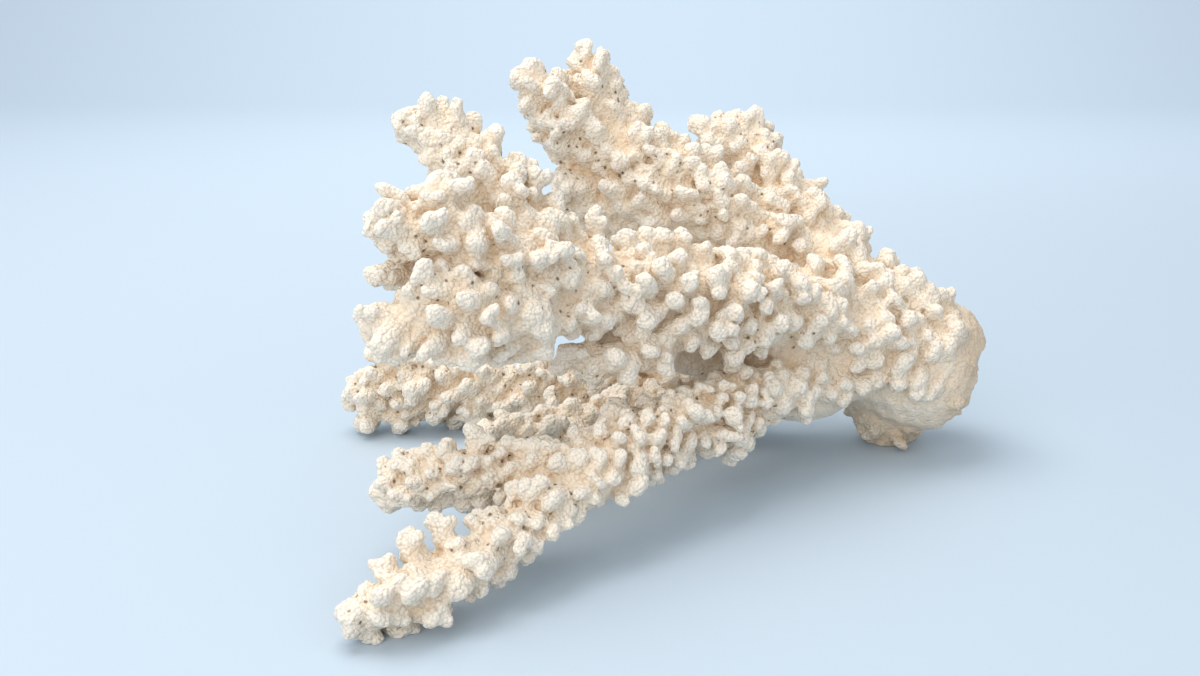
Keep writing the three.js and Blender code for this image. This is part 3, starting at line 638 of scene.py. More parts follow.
@dataclass
class Growth:
    """The coral as a distance field on a regular grid, mm, negative inside.

    `value` is the blended distance, `near` the distance to the nearest unblended limb or knob,
    and `owner` and `kind` say which branch and which kind of form that is.
    """

    low: np.ndarray
    high: np.ndarray
    step: float
    rng: np.random.Generator
    limb_blend: float = 3.5
    knob_blend: float = 1.5
    bend_size: float = 0.55
    bend_wave: float = 13.0

    def __post_init__(self) -> None:
        """Sets up the empty grid, with z = 0 half-way between two layers."""
        below = math.ceil((0.0 - self.low[2]) / self.step) + 0.5
        self.origin = np.array([self.low[0], self.low[1], -below * self.step])
        self.count = np.ceil((self.high - self.origin) / self.step).astype(int) + 1
        shape = tuple(int(n) for n in self.count)
        self.value = np.full(shape, FAR_OFF, np.float32)
        self.near = np.full(shape, FAR_OFF, np.float32)
        self.owner = np.zeros(shape, np.int8)
        self.kind = np.zeros(shape, np.int8)
        self.axes = [
            (self.origin[a] + self.step * np.arange(shape[a])).astype(np.float32) for a in range(3)
        ]
        self.bent = self._bend(shape)

    def _bend(self, shape: tuple[int, ...]) -> np.ndarray:
        """Places of the grid, gently pushed about, so that nothing grows quite straight or round.

        Each place moves by the sum of a few waves, each a sine along one random direction that
        pushes along another.
        """
        x, y, z = np.meshgrid(*self.axes, indexing="ij", sparse=True)
        bent = np.empty((3, *shape), np.float32)
        bent[0], bent[1], bent[2] = x, y, z
        for size, wave in BEND_WAVES:
            along = unit(self.rng.normal(size=3)) * (2 * math.pi / (self.bend_wave * wave))
            push = unit(self.rng.normal(size=3)) * self.bend_size * size
            turn = self.rng.uniform(0, 2 * math.pi)
            ripple = np.sin((x * along[0] + turn) + y * along[1] + z * along[2])
            for axis in range(3):
                bent[axis] += np.float32(push[axis]) * ripple
        return bent

    def window(self, low: np.ndarray, high: np.ndarray) -> Window:
        """The part of the grid between two corners, in mm."""
        start = np.floor((low - self.origin) / self.step).astype(int)
        stop = np.ceil((high - self.origin) / self.step).astype(int) + 1
        start = np.clip(start, 0, self.count)
        stop = np.clip(stop, 0, self.count)
        return tuple(slice(int(a), int(b)) for a, b in zip(start, stop))

    def _capsule(self, win: Window, a: np.ndarray, b: np.ndarray, ra: float, rb: float) -> np.ndarray:
        """Distance to a round rod that tapers from radius ra at a to rb at b.

        w is how far along the rod the nearest point of its middle line lies, and the distance is
        that to the point less the radius there.
        """
        x, y, z = self.bent[(slice(None), *win)]
        ab = (b - a).astype(np.float32)
        x, y, z = x - np.float32(a[0]), y - np.float32(a[1]), z - np.float32(a[2])
        w = (x * ab[0] + y * ab[1] + z * ab[2]) / np.float32(max(float(ab @ ab), 1e-6))
        np.clip(w, 0.0, 1.0, out=w)
        gap = np.sqrt((x - w * ab[0]) ** 2 + (y - w * ab[1]) ** 2 + (z - w * ab[2]) ** 2)
        return gap - (np.float32(ra) + w * np.float32(rb - ra))

    def _join(
        self, win: Window, gap: np.ndarray, blend: float, owner: np.ndarray, kind: Kind
    ) -> None:
        """Blends a form into the field, and marks what it holds and what lies nearest to it.

        An owner of -1 marks places beyond the form's parting plane, which keep their owner.
        """
        self.value[win] = smooth_min(self.value[win], gap, blend)
        near = self.near[win]
        mine = (gap < 0) & (owner >= 0) | (gap < near)
        keep = np.where(owner >= 0, owner, self.owner[win])
        self.owner[win] = np.where(mine, keep, self.owner[win])
        self.kind[win] = np.where(gap < near, np.int8(kind.value), self.kind[win])
        np.minimum(near, gap, out=near)

    def add_limbs(
        self, limbs: list[tuple[Limb, float, float]], owner: int, slim: float, blend: float
    ) -> None:
        """The limbs of one branch, each a chain of tapered rods, blended with one another.

        Args:
            limbs: each with the stations where it starts and stops; a start of 1 is the flat
                face towards the parent.
            owner: number of the branch.
            slim: how much thinner the bare limbs are than the solid's, which has coarser knobs.
            blend: how far apart the limbs still run together, mm.
        """
        chains = [limb.chain(start, stop, ROD_STEP) for limb, start, stop in limbs]
        spots = np.concatenate([rows[:, 1:4] for rows in chains])
        pad = max(float(rows[:, 4].max()) for rows in chains) + blend + 2.0
        win = self.window(spots.min(axis=0) - pad, spots.max(axis=0) + pad)
        gap = np.full(self.value[win].shape, OUT_OF_REACH, np.float32)
        marks = np.full(gap.shape, owner, np.int8)
        for rows, (limb, start, _) in zip(chains, limbs):
            radii = np.maximum(rows[:, 4] - slim, THINNEST * rows[:, 4])
            pad = float(radii.max()) + blend + 2.0
            part = self.window(rows[:, 1:4].min(axis=0) - pad, rows[:, 1:4].max(axis=0) + pad)
            inner = within(part, win)
            rod = self._chain(part, rows[:, 1:4], radii, blend)
            if start > 0:
                place, tangent, _, _ = limb.frame(start)
                x, y, z = self.bent[(slice(None), *part)]
                ahead = (x - place[0]) * tangent[0] + (y - place[1]) * tangent[1]
                ahead = ahead + (z - place[2]) * tangent[2]
                marks[inner][(rod < gap[inner]) & (ahead < 0)] = -1
            gap[inner] = smooth_min(gap[inner], rod, blend)
        self._join(win, gap, self.limb_blend, marks, Kind.LIMB)

    def _chain(self, win: Window, spots: np.ndarray, radii: np.ndarray, blend: float) -> np.ndarray:
        """Distance to a chain of tapered rods: the least of theirs."""
        gap = np.full(self.value[win].shape, OUT_OF_REACH, np.float32)
        for i in range(len(spots) - 1):
            a, b = spots[i], spots[i + 1]
            reach = max(radii[i], radii[i + 1]) + blend + 1.5
            part = self.window(np.minimum(a, b) - reach, np.maximum(a, b) + reach)
            inner = within(part, win)
            rod = self._capsule(part, a, b, radii[i], radii[i + 1])
            np.minimum(gap[inner], rod, out=gap[inner])
        return gap

    def add_knob(self, knob: Knob, owner: int) -> None:
        """A bent, tapered finger with a round tip, which may fork and bears a few low buds.

        Args:
            knob: root, tip, radius and number of forks.
            owner: number of its branch.
        """
        run = knob.tip - knob.root
        length = float(np.linalg.norm(run))
        along = run / max(length, 1e-6)
        side = unit(np.cross(along, self.rng.normal(size=3)))
        over = np.cross(along, side)
        middle = knob.root + FINGER.bend_at * run + side * (FINGER.bend * length)
        r = knob.radius
        reach = (FINGER.reach_forked if knob.forks else FINGER.reach_plain) * r
        reach = reach + self.knob_blend + 0.8
        win = self.window(
            np.minimum(knob.root, knob.tip) - reach, np.maximum(knob.root, knob.tip) + reach)
        if min(self.value[win].shape) == 0:
            return
        gap = self._capsule(win, knob.root, middle, FINGER.root * r, FINGER.middle * r)
        upper = self._capsule(win, middle, knob.tip, FINGER.middle * r, FINGER.tip * r)
        gap = smooth_min(gap, upper, FINGER.joint)
        turn = self.rng.uniform(0, 2 * math.pi)
        for k in range(knob.forks + FINGER.buds):
            lean = side * math.cos(turn) + over * math.sin(turn)
            turn += GOLDEN_TURN + self.rng.uniform(-FINGER.turn_spread, FINGER.turn_spread)
            form = FORK if k < knob.forks else BUD
            drop = min(form.most_drop * length, r * self.rng.uniform(*form.drop))
            foot = knob.tip - along * drop
            far = r * self.rng.uniform(*form.reach)
            size = r * self.rng.uniform(*form.size)
            tip = foot + lean * far + along * (FINGER.rise * far)
            rod = self._capsule(win, foot, tip, FINGER.side_root * size, FINGER.side_tip * size)
            gap = smooth_min(gap, rod, FINGER.side_blend)
        self._join(win, gap, self.knob_blend, np.full(gap.shape, owner, np.int8), Kind.KNOB)

    def cut(self, place: np.ndarray, along: np.ndarray, rim: float, rough: float) -> None:
        """Breaks off all that lies beyond a plane, with a rounded rim and an uneven face.

        The rounded maximum of two distances is minus the smooth minimum of their negatives.
        """
        x, y, z = self.bent
        ahead = (x - place[0]) * along[0] + (y - place[1]) * along[1] + (z - place[2]) * along[2]
        ahead = ahead + rough * np.sin(x * 0.55 + y * 0.8) * np.sin(y * 0.45 - z * 0.7 + 1.0)
        ahead = ahead + 0.45 * rough * np.sin(y * 1.7 + 0.4) * np.sin(z * 1.5 + x)
        self.value = -smooth_min(-self.value, -ahead.astype(np.float32), rim)

    def settle(self) -> None:
        """Cuts the coral flat where it rests on the floor, at z = 0."""
        np.maximum(self.value, -self.axes[2][None, None, :], out=self.value)

    def surface_points(self) -> tuple[np.ndarray, np.ndarray]:
        """Points on the surface with their outward directions, from grid places close to it.

        A place p at distance d goes to p - d g / |g|^2, where g is the slope of the field there.
        """
        inner = (slice(2, -2),) * 3
        places = np.argwhere(np.abs(self.value[inner]) < 0.55 * self.step) + 2
        slope = self.slope(places)
        size = np.maximum(np.linalg.norm(slope, axis=1, keepdims=True), 0.2)
        gap = self.value[tuple(places.T)][:, None]
        spots = self.origin + places * self.step - gap * slope / size**2
        return spots, slope / size

    def slope(self, places: np.ndarray) -> np.ndarray:
        """Slope of the field at grid places, from the places on both sides."""
        slope = np.empty((len(places), 3), np.float32)
        for axis in range(3):
            shift = np.eye(3, dtype=int)[axis]
            ahead = self.value[tuple((places + shift).T)]
            behind = self.value[tuple((places - shift).T)]
            slope[:, axis] = (ahead - behind) / (2 * self.step)
        return slope

    def outward(self, spots: np.ndarray) -> np.ndarray:
        """Outward directions at any points, from the slopes at the eight grid places around."""
        exact = (spots - self.origin) / self.step
        base = np.clip(np.floor(exact).astype(int), 1, self.count - 3)
        part = exact - base
        total = np.zeros((len(spots), 3), np.float32)
        for corner in np.ndindex(2, 2, 2):
            weight = np.abs(1 - np.array(corner) - part).prod(axis=1)
            total += self.slope(base + np.array(corner)) * weight[:, None]
        return total / np.maximum(np.linalg.norm(total, axis=1, keepdims=True), 1e-6)

    def sample(self, grid: np.ndarray, spots: np.ndarray) -> np.ndarray:
        """Values of a grid at the places nearest to some points, in mm."""
        index = np.rint((spots - self.origin) / self.step).astype(int)
        index = np.clip(index, 0, self.count - 1)
        return grid[tuple(index.T)]

    def balls(self, centres: np.ndarray, radii: np.ndarray, reach: float) -> np.ndarray:
        """Distance on the grid to many small balls, exact within `reach` of each centre."""
        gap = np.full(self.value.shape, NO_BALL, np.float32)
        span = int(math.ceil(reach / self.step))
        block = neighbours(np.arange(-span, span + 1))
        base = np.rint((centres - self.origin) / self.step).astype(np.int64)
        strides = np.array([self.count[1] * self.count[2], self.count[2], 1], np.int64)
        flat = gap.reshape(-1)
        for part in range(0, len(centres), BALLS_AT_ONCE):
            chosen = slice(part, part + BALLS_AT_ONCE)
            near = base[chosen, None, :] + block[None]
            near = np.clip(near, 0, self.count - 1)
            away = self.origin + near * self.step - centres[chosen, None, :]
            far = np.sqrt((away.astype(np.float32) ** 2).sum(axis=-1)) - radii[chosen, None]
            np.minimum.at(flat, (near @ strides).reshape(-1), far.reshape(-1).astype(np.float32))
        return gap

    def crowding(self, reach: float) -> np.ndarray:
        """Share of solid in a block of about `reach` mm to each side, from running sums."""
        solid = (self.value < 0).astype(np.float32)
        span = max(1, int(round(reach / self.step)))
        for axis in range(3):
            total = np.cumsum(solid, axis=axis, dtype=np.float32)
            size = solid.shape[axis]
            ahead = np.minimum(np.arange(size) + span, size - 1)
            behind = np.maximum(np.arange(size) - span - 1, 0)
            solid = np.take(total, ahead, axis=axis) - np.take(total, behind, axis=axis)
            solid /= 2 * span + 1
        return solid


def within(part: Window, win: Window) -> Window:
    """A part of the grid, counted from the start of a larger part that holds it."""
    return tuple(slice(p.start - w.start, p.stop - w.start) for p, w in zip(part, win))


def neighbours(line: np.ndarray) -> np.ndarray:
    """All triples of the numbers in a line, one row each."""
    return np.stack(np.meshgrid(line, line, line, indexing="ij"), axis=-1).reshape(-1, 3)


def spread(spots: np.ndarray, spacing: float, rng: np.random.Generator) -> np.ndarray:
    """Picks points that keep about `spacing` from each other.

    Space is parted into cells of that size.  In each round every cell puts up one point at random,
    which is kept unless the one of a cell beside it is too near and comes first, and then all
    points too near to the kept ones drop out.

    Args:
        spots: the points to choose from, one row each.
        spacing: least distance between two of them, mm.
        rng: source of the random order.

    Returns:
        Indices of the chosen points.
    """
    if len(spots) == 0:
        return np.zeros(0, int)
    order = rng.permutation(len(spots))
    spots = spots[order].astype(np.float32)
    cell = np.floor((spots - spots.min(axis=0)) / spacing).astype(np.int64) + 1
    size = cell.max(axis=0) + 2
    strides = np.array([size[1] * size[2], size[2], 1])
    key = cell @ strides
    beside = neighbours(np.array([-1, 0, 1])) @ strides
    alive = np.arange(len(spots))
    kept: list[np.ndarray] = []
    while len(alive):
        first = np.full(int(size.prod()), -1, np.int64)
        first[key[alive][::-1]] = alive[::-1]
        champions = np.unique(first[key[alive]])
        wins = np.ones(len(champions), bool)
        for offset in beside[beside != 0]:
            rival = first[key[champions] + offset]
            gap = np.linalg.norm(spots[champions] - spots[rival], axis=1)
            wins &= ~((rival >= 0) & (gap < spacing) & (rival < champions))
        champions = champions[wins]
        kept.append(champions)
        held = np.full(int(size.prod()), -1, np.int64)
        held[key[champions]] = champions
        stays = np.ones(len(alive), bool)
        for offset in beside:
            other = held[key[alive] + offset]
            gap = np.linalg.norm(spots[alive] - spots[other], axis=1)
            stays &= ~((other >= 0) & (gap < spacing))
        alive = alive[stays]
    return order[np.concatenate(kept)]


@dataclass
class Skin:
    """The surface between the branches' own parts of the grid and the open air.

    Every block of eight grid places that are not all alike gets one corner of the surface, at the
    mean of the places where the field crosses zero along the block's edges.  Every grid edge whose
    ends differ gets a square between the four blocks around it.
    """

    growth: Growth
    names: tuple[str, ...]
    spots: np.ndarray = field(init=False)
    squares: np.ndarray = field(init=False)
    owners: np.ndarray = field(init=False)
    inner: np.ndarray = field(init=False)

    def build(self) -> None:
        """Works out the corners and squares of all branches at once."""
        value = self.growth.value
        marks = np.where(value < 0, self.growth.owner + 1, 0).astype(np.int8)
        low = marks[:-1, :-1, :-1].copy()
        high = low.copy()
        for corner in list(np.ndindex(2, 2, 2))[1:]:
            part = marks[tuple(slice(c, n - 1 + c) for c, n in zip(corner, marks.shape))]
            np.minimum(low, part, out=low)
            np.maximum(high, part, out=high)
        active = low != high
        cells = np.argwhere(active)
        number = np.full(active.shape, -1, np.int32)
        number[active] = np.arange(len(cells), dtype=np.int32)
        self.spots = self._corners(cells, marks, value)
        squares, owners, inner = [], [], []
        for axis in range(3):
            near, far = [slice(1, -1)] * 3, [slice(1, -1)] * 3
            near[axis], far[axis] = slice(0, -1), slice(1, None)
            a, b = marks[tuple(near)], marks[tuple(far)]
            edges = np.argwhere(a != b)
            here = a[tuple(edges.T)]
            there = b[tuple(edges.T)]
            edges = edges + 1
            edges[:, axis] -= 1
            u, v = (axis + 1) % 3, (axis + 2) % 3
            ring = []
            for du, dv in ((-1, -1), (0, -1), (0, 0), (-1, 0)):
                cell = edges.copy()
                cell[:, u] += du
                cell[:, v] += dv
                ring.append(number[tuple(cell.T)])
            square = np.stack(ring, axis=1)
            both = (here > 0) & (there > 0)
            for mark, turned in ((here, False), (there, True)):
                mine = mark > 0
                squares.append(square[mine][:, ::-1] if turned else square[mine])
                owners.append(mark[mine] - 1)
                inner.append(both[mine])
        self.squares = np.concatenate(squares)
        self.owners = np.concatenate(owners)
        self.inner = np.concatenate(inner)
        kept = largest_part(self.squares, len(self.spots))
        LOG.info("%d squares of loose crumbs left out", int((~kept).sum()))
        self.squares, self.owners = self.squares[kept], self.owners[kept]
        self.inner = self.inner[kept]

    @staticmethod
    def _corners_of(grid: np.ndarray, cells: np.ndarray) -> np.ndarray:
        """Values of a grid at the eight corners of some blocks, one row each."""
        return np.stack(
            [grid[tuple((cells + np.array(c)).T)] for c in np.ndindex(2, 2, 2)], axis=1)

    def _corners(self, cells: np.ndarray, marks: np.ndarray, value: np.ndarray) -> np.ndarray:
        """Places of the surface's corners, in mm: the mean of the crossings on a block's edges."""
        gaps = self._corners_of(value, cells)
        solid = self._corners_of(marks, cells) > 0
        corners = list(np.ndindex(2, 2, 2))
        total = np.zeros((len(cells), 3), np.float32)
        count = np.zeros(len(cells), np.float32)
        for i, first in enumerate(corners):
            for j, second in enumerate(corners):
                if j <= i or sum(abs(p - q) for p, q in zip(first, second)) != 1:
                    continue
                crossed = solid[:, i] != solid[:, j]
                drop = gaps[:, i] - gaps[:, j]
                w = np.where(np.abs(drop) > 1e-9, gaps[:, i] / np.where(drop == 0, 1, drop), 0.5)
                w = np.clip(w, 0.0, 1.0)[:, None]
                spot = np.array(first) * (1 - w) + np.array(second) * w
                total[crossed] += spot[crossed]
                count[crossed] += 1
        middle = np.where(count[:, None] > 0, total / np.maximum(count, 1)[:, None], 0.5)
        return self.growth.origin + (cells + middle) * self.growth.step

    def piece(self, index: int, marks: dict[str, np.ndarray]) -> bpy.types.Object:
        """One branch as a closed mesh in metres.

        Args:
            index: number of the branch.
            marks: values of all corners by attribute name.

        Returns:
            The new object, linked to the scene.
        """
        mine = self.owners == index
        squares = self.squares[mine]
        inner = self.inner[mine]
        used, flat = np.unique(squares, return_inverse=True)
        squares = flat.reshape(-1, 4)
        spots = self.spots[used]
        mesh = bpy.data.meshes.new(f"{self.names[index]}_skin")
        mesh.vertices.add(len(spots))
        mesh.vertices.foreach_set("co", (spots * MM).astype(np.float32).ravel())
        mesh.loops.add(squares.size)
        mesh.loops.foreach_set("vertex_index", squares.astype(np.int32).ravel())
        mesh.polygons.add(len(squares))
        mesh.polygons.foreach_set("loop_start", np.arange(0, squares.size, 4, dtype=np.int32))
        mesh.update(calc_edges=True)
        mesh.polygons.foreach_set("use_smooth", ~inner)
        piece = bpy.data.objects.new(f"{self.names[index]}_skin", mesh)
        bpy.context.scene.collection.objects.link(piece)
        for name, values in marks.items():
            kind, entry = ("FLOAT_VECTOR", "vector") if values.ndim == 2 else ("FLOAT", "value")
            attribute = mesh.attributes.new(name, kind, "POINT")
            attribute.data.foreach_set(entry, values[used].ravel())
        seam = np.unique(squares[inner]) if inner.any() else np.zeros(0, int)
        hold = piece.vertex_groups.new(name="hold")
        hold.add([int(i) for i in seam], 1.0, "REPLACE")
        return piece


def largest_part(squares: np.ndarray, count: int) -> np.ndarray:
    """Which squares belong to the part with the most corners.

    Labels start as the corners' own numbers, and each square's least label goes to all of its
    corners until nothing changes; every round also follows the labels of labels.
    """
    label = np.arange(count)
    while True:
        least = label[squares].min(axis=1)
        new = label.copy()
        np.minimum.at(new, squares.reshape(-1), np.repeat(least, squares.shape[1]))
        new = new[new]
        if np.array_equal(new, label):
            break
        label = new
    values, sizes = np.unique(label, return_counts=True)
    return label[squares[:, 0]] == values[np.argmax(sizes)]


def linear(red: int, green: int, blue: int) -> tuple[float, float, float, float]:
    """A screen colour of 0 to 255 as the linear colour that a shader takes."""
    scaled = [channel / 255 for channel in (red, green, blue)]
    return (*(c / 12.92 if c <= 0.04045 else ((c + 0.055) / 1.055) ** 2.4 for c in scaled), 1.0)


@dataclass
class Nodes:
    """Short ways to place and join the nodes of one tree."""

    tree: bpy.types.NodeTree

    def add(self, kind: str, **settings: object) -> bpy.types.Node:
        """A new node with some of its settings."""
        node = self.tree.nodes.new(kind)
        for name, value in settings.items():
            setattr(node, name, value)
        return node

    def put(self, target: bpy.types.NodeSocket, source: object) -> None:
        """Joins a socket to another, or gives it a value."""
        if isinstance(source, bpy.types.NodeSocket):
            self.tree.links.new(source, target)
        else:
            target.default_value = source

    def math(
        self, operation: str, a: object, b: object = 0.0, c: object = 0.0
    ) -> bpy.types.NodeSocket:
        """The result of one sum."""
        node = self.add("ShaderNodeMath", operation=operation)
        for socket, source in zip(node.inputs, (a, b, c)):
            self.put(socket, source)
        return node.outputs[0]

    def ramp(self, value: object, low: float, high: float, start: float = 0.0,
             stop: float = 1.0) -> bpy.types.NodeSocket:
        """A value that goes smoothly from start to stop between low and high."""
        node = self.add("ShaderNodeMapRange", interpolation_type="SMOOTHSTEP")
        for name, source in zip(("Value", "From Min", "From Max", "To Min", "To Max"),
                                (value, low, high, start, stop)):
            self.put(node.inputs[name], source)
        return node.outputs["Result"]

    def mix(self, factor: object, a: object, b: object) -> bpy.types.NodeSocket:
        """A colour between a and b."""
        node = self.add("ShaderNodeMix", data_type="RGBA")
        self.put(node.inputs[0], factor)
        self.put(node.inputs[6], a)
        self.put(node.inputs[7], b)
        return node.outputs[2]

    def noise(self, place: object, scale: float, detail: float) -> bpy.types.NodeSocket:
        """Cloudy noise from 0 to 1; the scale counts clouds per metre."""
        node = self.add("ShaderNodeTexNoise")
        self.put(node.inputs["Vector"], place)
        self.put(node.inputs["Scale"], scale)
        self.put(node.inputs["Detail"], detail)
        return node.outputs["Fac"]

    def cells(self, place: object, scale: float) -> bpy.types.NodeSocket:
        """Distance to the nearest of scattered points, in cells about one scaled unit wide."""
        node = self.add("ShaderNodeTexVoronoi", feature="F1")
        self.put(node.inputs["Vector"], place)
        self.put(node.inputs["Scale"], scale)
        return node.outputs["Distance"]


def new_group(name: str, inputs: dict[str, tuple[str, object]],
              outputs: dict[str, str]) -> tuple[Nodes, bpy.types.Node, bpy.types.Node]:
    """An empty shader node group.

    Args:
        name: name of the group.
        inputs: socket type and starting value by name.
        outputs: socket type by name.

    Returns:
        Its nodes, its input node and its output node.
    """
    tree = bpy.data.node_groups.new(name, "ShaderNodeTree")
    for label, (kind, value) in inputs.items():
        socket = tree.interface.new_socket(label, in_out="INPUT", socket_type=kind)
        if kind != "NodeSocketVector":
            socket.default_value = value
    for label, kind in outputs.items():
        tree.interface.new_socket(label, in_out="OUTPUT", socket_type=kind)
    nodes = Nodes(tree)
    return nodes, nodes.add("NodeGroupInput"), nodes.add("NodeGroupOutput")


Range = tuple[float, float]
Colour = tuple[float, float, float, float]


@dataclass(frozen=True)
class CoralFinish:
    """Dry limestone skeleton: cream white, tan with painted shade in the hollows, painted shade in the
    cups, and a fine grain.

    Scales count clouds or cells per metre.  A range is where a value starts and stops to count.
    """

    cream: Colour = linear(245, 233, 217)
    # Painted shade: the cream darkens towards this where more solid lies around a place.
    hollow_shade: Colour = linear(241, 225, 204)
    # Painted shade with a tan tone, in patches, in the deepest hollows.
    tan_with_shade: Colour = linear(229, 203, 171)
    # Worn tone of the broken end, also used as painted shade on the trunk's underside.
    eroded_and_shade: Colour = linear(214, 192, 166)
    # Painted shade: the dark inside of the cups.
    cup: Colour = linear(118, 90, 68)
    cloud_scale: float = 60.0
    patch_scale: float = 22.0
    cloud_share: float = 0.12
    hollow_shade_range: Range = (0.34, 0.56)
    tan_with_shade_range: Range = (0.5, 0.8)
    patch_range: Range = (0.3, 0.65)
    least_tan_with_shade: float = 0.35
    wear_and_shade_range: Range = (0.3, 0.6)
    least_wear_and_shade: float = 0.45
    cup_radius: float = 0.00042
    cup_edge: Range = (0.4, 1.5)
    cup_on_range: Range = (0.35, 0.7)
    cup_hollow: Range = (0.34, 0.46)
    cup_dark: float = 0.85
    cup_depth: float = 0.6
    grain_height: float = 0.0007
    cell_scale: float = 1050.0
    cell_height: float = 0.6
    limb_cells: float = 0.6
    sand_scale: float = 2200.0
    sand_height: float = 0.06
    roughness: Range = (0.78, 0.92)
    specular: float = 0.3
    glow: float = 0.3
    glow_depth: float = 0.0008
    glow_reach: tuple[float, float, float] = (1.0, 0.8, 0.6)

    def material(self) -> bpy.types.Material:
        """Builds the material.

        The hollow attribute is the share of solid nearby, cup the middle of the nearest cup in metres,
        cup_on whether one is near, knob whether a finger is, and the last how eroded the broken end is,
        together with painted shade on the trunk's underside.

        Returns:
            The new material.
        """
        material = bpy.data.materials.new("dry_coral")
        material.use_nodes = True
        nodes = Nodes(material.node_tree)
        shader = material.node_tree.nodes["Principled BSDF"]
        place = nodes.add("ShaderNodeTexCoord").outputs["Object"]
        marks = {
            name: nodes.add("ShaderNodeAttribute", attribute_name=name)
            for name in ("hollow", "cup", "cup_on", "knob", "worn")
        }
        tint = nodes.add("ShaderNodeGroup", node_tree=self._tint_group())
        grain = nodes.add("ShaderNodeGroup", node_tree=self._grain_group())
        bump = nodes.add("ShaderNodeBump")
        for node, name, source in (
            (tint, "Place", place), (tint, "Hollow", marks["hollow"].outputs["Fac"]),
            (tint, "Worn", marks["worn"].outputs["Fac"]),
            (tint, "Cup", marks["cup"].outputs["Vector"]),
            (tint, "Cup on", marks["cup_on"].outputs["Fac"]),
            (grain, "Place", place), (grain, "Knob", marks["knob"].outputs["Fac"]),
            (grain, "Pit", tint.outputs["Pit"]),
            (bump, "Height", grain.outputs["Height"]), (bump, "Distance", self.grain_height),
            (bump, "Strength", 1.0), (shader, "Normal", bump.outputs["Normal"]),
            (shader, "Base Color", tint.outputs["Color"]),
            (shader, "Roughness", grain.outputs["Roughness"]),
        ):
            nodes.put(node.inputs[name], source)
        for name, value in (
            ("Specular IOR Level", self.specular), ("Subsurface Weight", self.glow),
            ("Subsurface Radius", self.glow_reach), ("Subsurface Scale", self.glow_depth),
        ):
            shader.inputs[name].default_value = value
        return material

    def _tint_group(self) -> bpy.types.NodeTree:
        """Colour by hollow, wear and cup: cream on the tips, tan with painted shade between, the worn
        end's tone with painted shade under the trunk, and painted shade in the cups.
        """
        nodes, inlet, outlet = new_group(
            "coral_tint",
            {"Place": ("NodeSocketVector", None), "Hollow": ("NodeSocketFloat", 0.5),
             "Worn": ("NodeSocketFloat", 0.0), "Cup": ("NodeSocketVector", None),
             "Cup on": ("NodeSocketFloat", 0.0)},
            {"Color": "NodeSocketColor", "Pit": "NodeSocketFloat"},
        )
        cloud = nodes.noise(inlet.outputs["Place"], self.cloud_scale, 3.0)
        patch = nodes.noise(inlet.outputs["Place"], self.patch_scale, 2.0)
        drift = nodes.math("MULTIPLY", cloud, self.cloud_share)
        hollow = nodes.math("ADD", inlet.outputs["Hollow"], drift)
        # Painted shade in the hollows: the cream darkens where more solid lies around.
        shade = nodes.mix(nodes.ramp(hollow, *self.hollow_shade_range), self.cream, self.hollow_shade)
        # Painted shade with a tan tone in the deeper hollows, stronger in patches.
        patches = nodes.ramp(patch, *self.patch_range, self.least_tan_with_shade, 1.0)
        deep = nodes.math("MULTIPLY", nodes.ramp(hollow, *self.tan_with_shade_range), patches)
        shade = nodes.mix(deep, shade, self.tan_with_shade)
        # Worn tone on the broken end and painted shade on the trunk's underside, in cloudy patches.
        cloudy_wear_and_shade = nodes.ramp(cloud, *self.wear_and_shade_range, self.least_wear_and_shade, 1.0)
        worn = nodes.math("MULTIPLY", inlet.outputs["Worn"], cloudy_wear_and_shade)
        shade = nodes.mix(worn, shade, self.eroded_and_shade)
        away = nodes.add("ShaderNodeVectorMath", operation="DISTANCE")
        nodes.put(away.inputs[0], inlet.outputs["Place"])
        nodes.put(away.inputs[1], inlet.outputs["Cup"])
        near, far = (share * self.cup_radius for share in self.cup_edge)
        pit = nodes.ramp(away.outputs["Value"], near, far, 1.0, 0.0)
        pit = nodes.math("MULTIPLY", pit, nodes.ramp(inlet.outputs["Cup on"], *self.cup_on_range))
        pit = nodes.math("MULTIPLY", pit, nodes.ramp(inlet.outputs["Hollow"], *self.cup_hollow))
        # Painted shade in the cups, only where the coral is crowded around them.
        dark = nodes.math("MULTIPLY", pit, self.cup_dark)
        nodes.put(outlet.inputs["Color"], nodes.mix(dark, shade, self.cup))
        nodes.put(outlet.inputs["Pit"], pit)
        return nodes.tree

    def _grain_group(self) -> bpy.types.NodeTree:
        """Height and roughness: small rounded cells on the fingers, fine sand in between."""
        nodes, inlet, outlet = new_group(
            "coral_grain",
            {"Place": ("NodeSocketVector", None), "Knob": ("NodeSocketFloat", 0.0),
             "Pit": ("NodeSocketFloat", 0.0)},
            {"Height": "NodeSocketFloat", "Roughness": "NodeSocketFloat"},
        )
        cell = nodes.cells(inlet.outputs["Place"], self.cell_scale)
        cell = nodes.math("MULTIPLY", cell, cell)
        sand = nodes.noise(inlet.outputs["Place"], self.sand_scale, 3.0)
        on_knob = nodes.ramp(inlet.outputs["Knob"], 0.0, 1.0, self.limb_cells, 1.0)
        bumps = nodes.math("MULTIPLY", nodes.math("SUBTRACT", self.cell_height, cell), on_knob)
        height = nodes.math("ADD", bumps, nodes.math("MULTIPLY", sand, self.sand_height))
        pit = nodes.math("MULTIPLY", inlet.outputs["Pit"], self.cup_depth)
        nodes.put(outlet.inputs["Height"], nodes.math("SUBTRACT", height, pit))
        nodes.put(outlet.inputs["Roughness"], nodes.ramp(sand, 0.2, 0.8, *self.roughness))
        return nodes.tree


@dataclass(frozen=True)
class Lamp:
    """A soft square light: place, aim, size and power, in metres and watts."""

    name: str
    place: Point
    aim: Point
    size: float
    power: float
    colour: Point


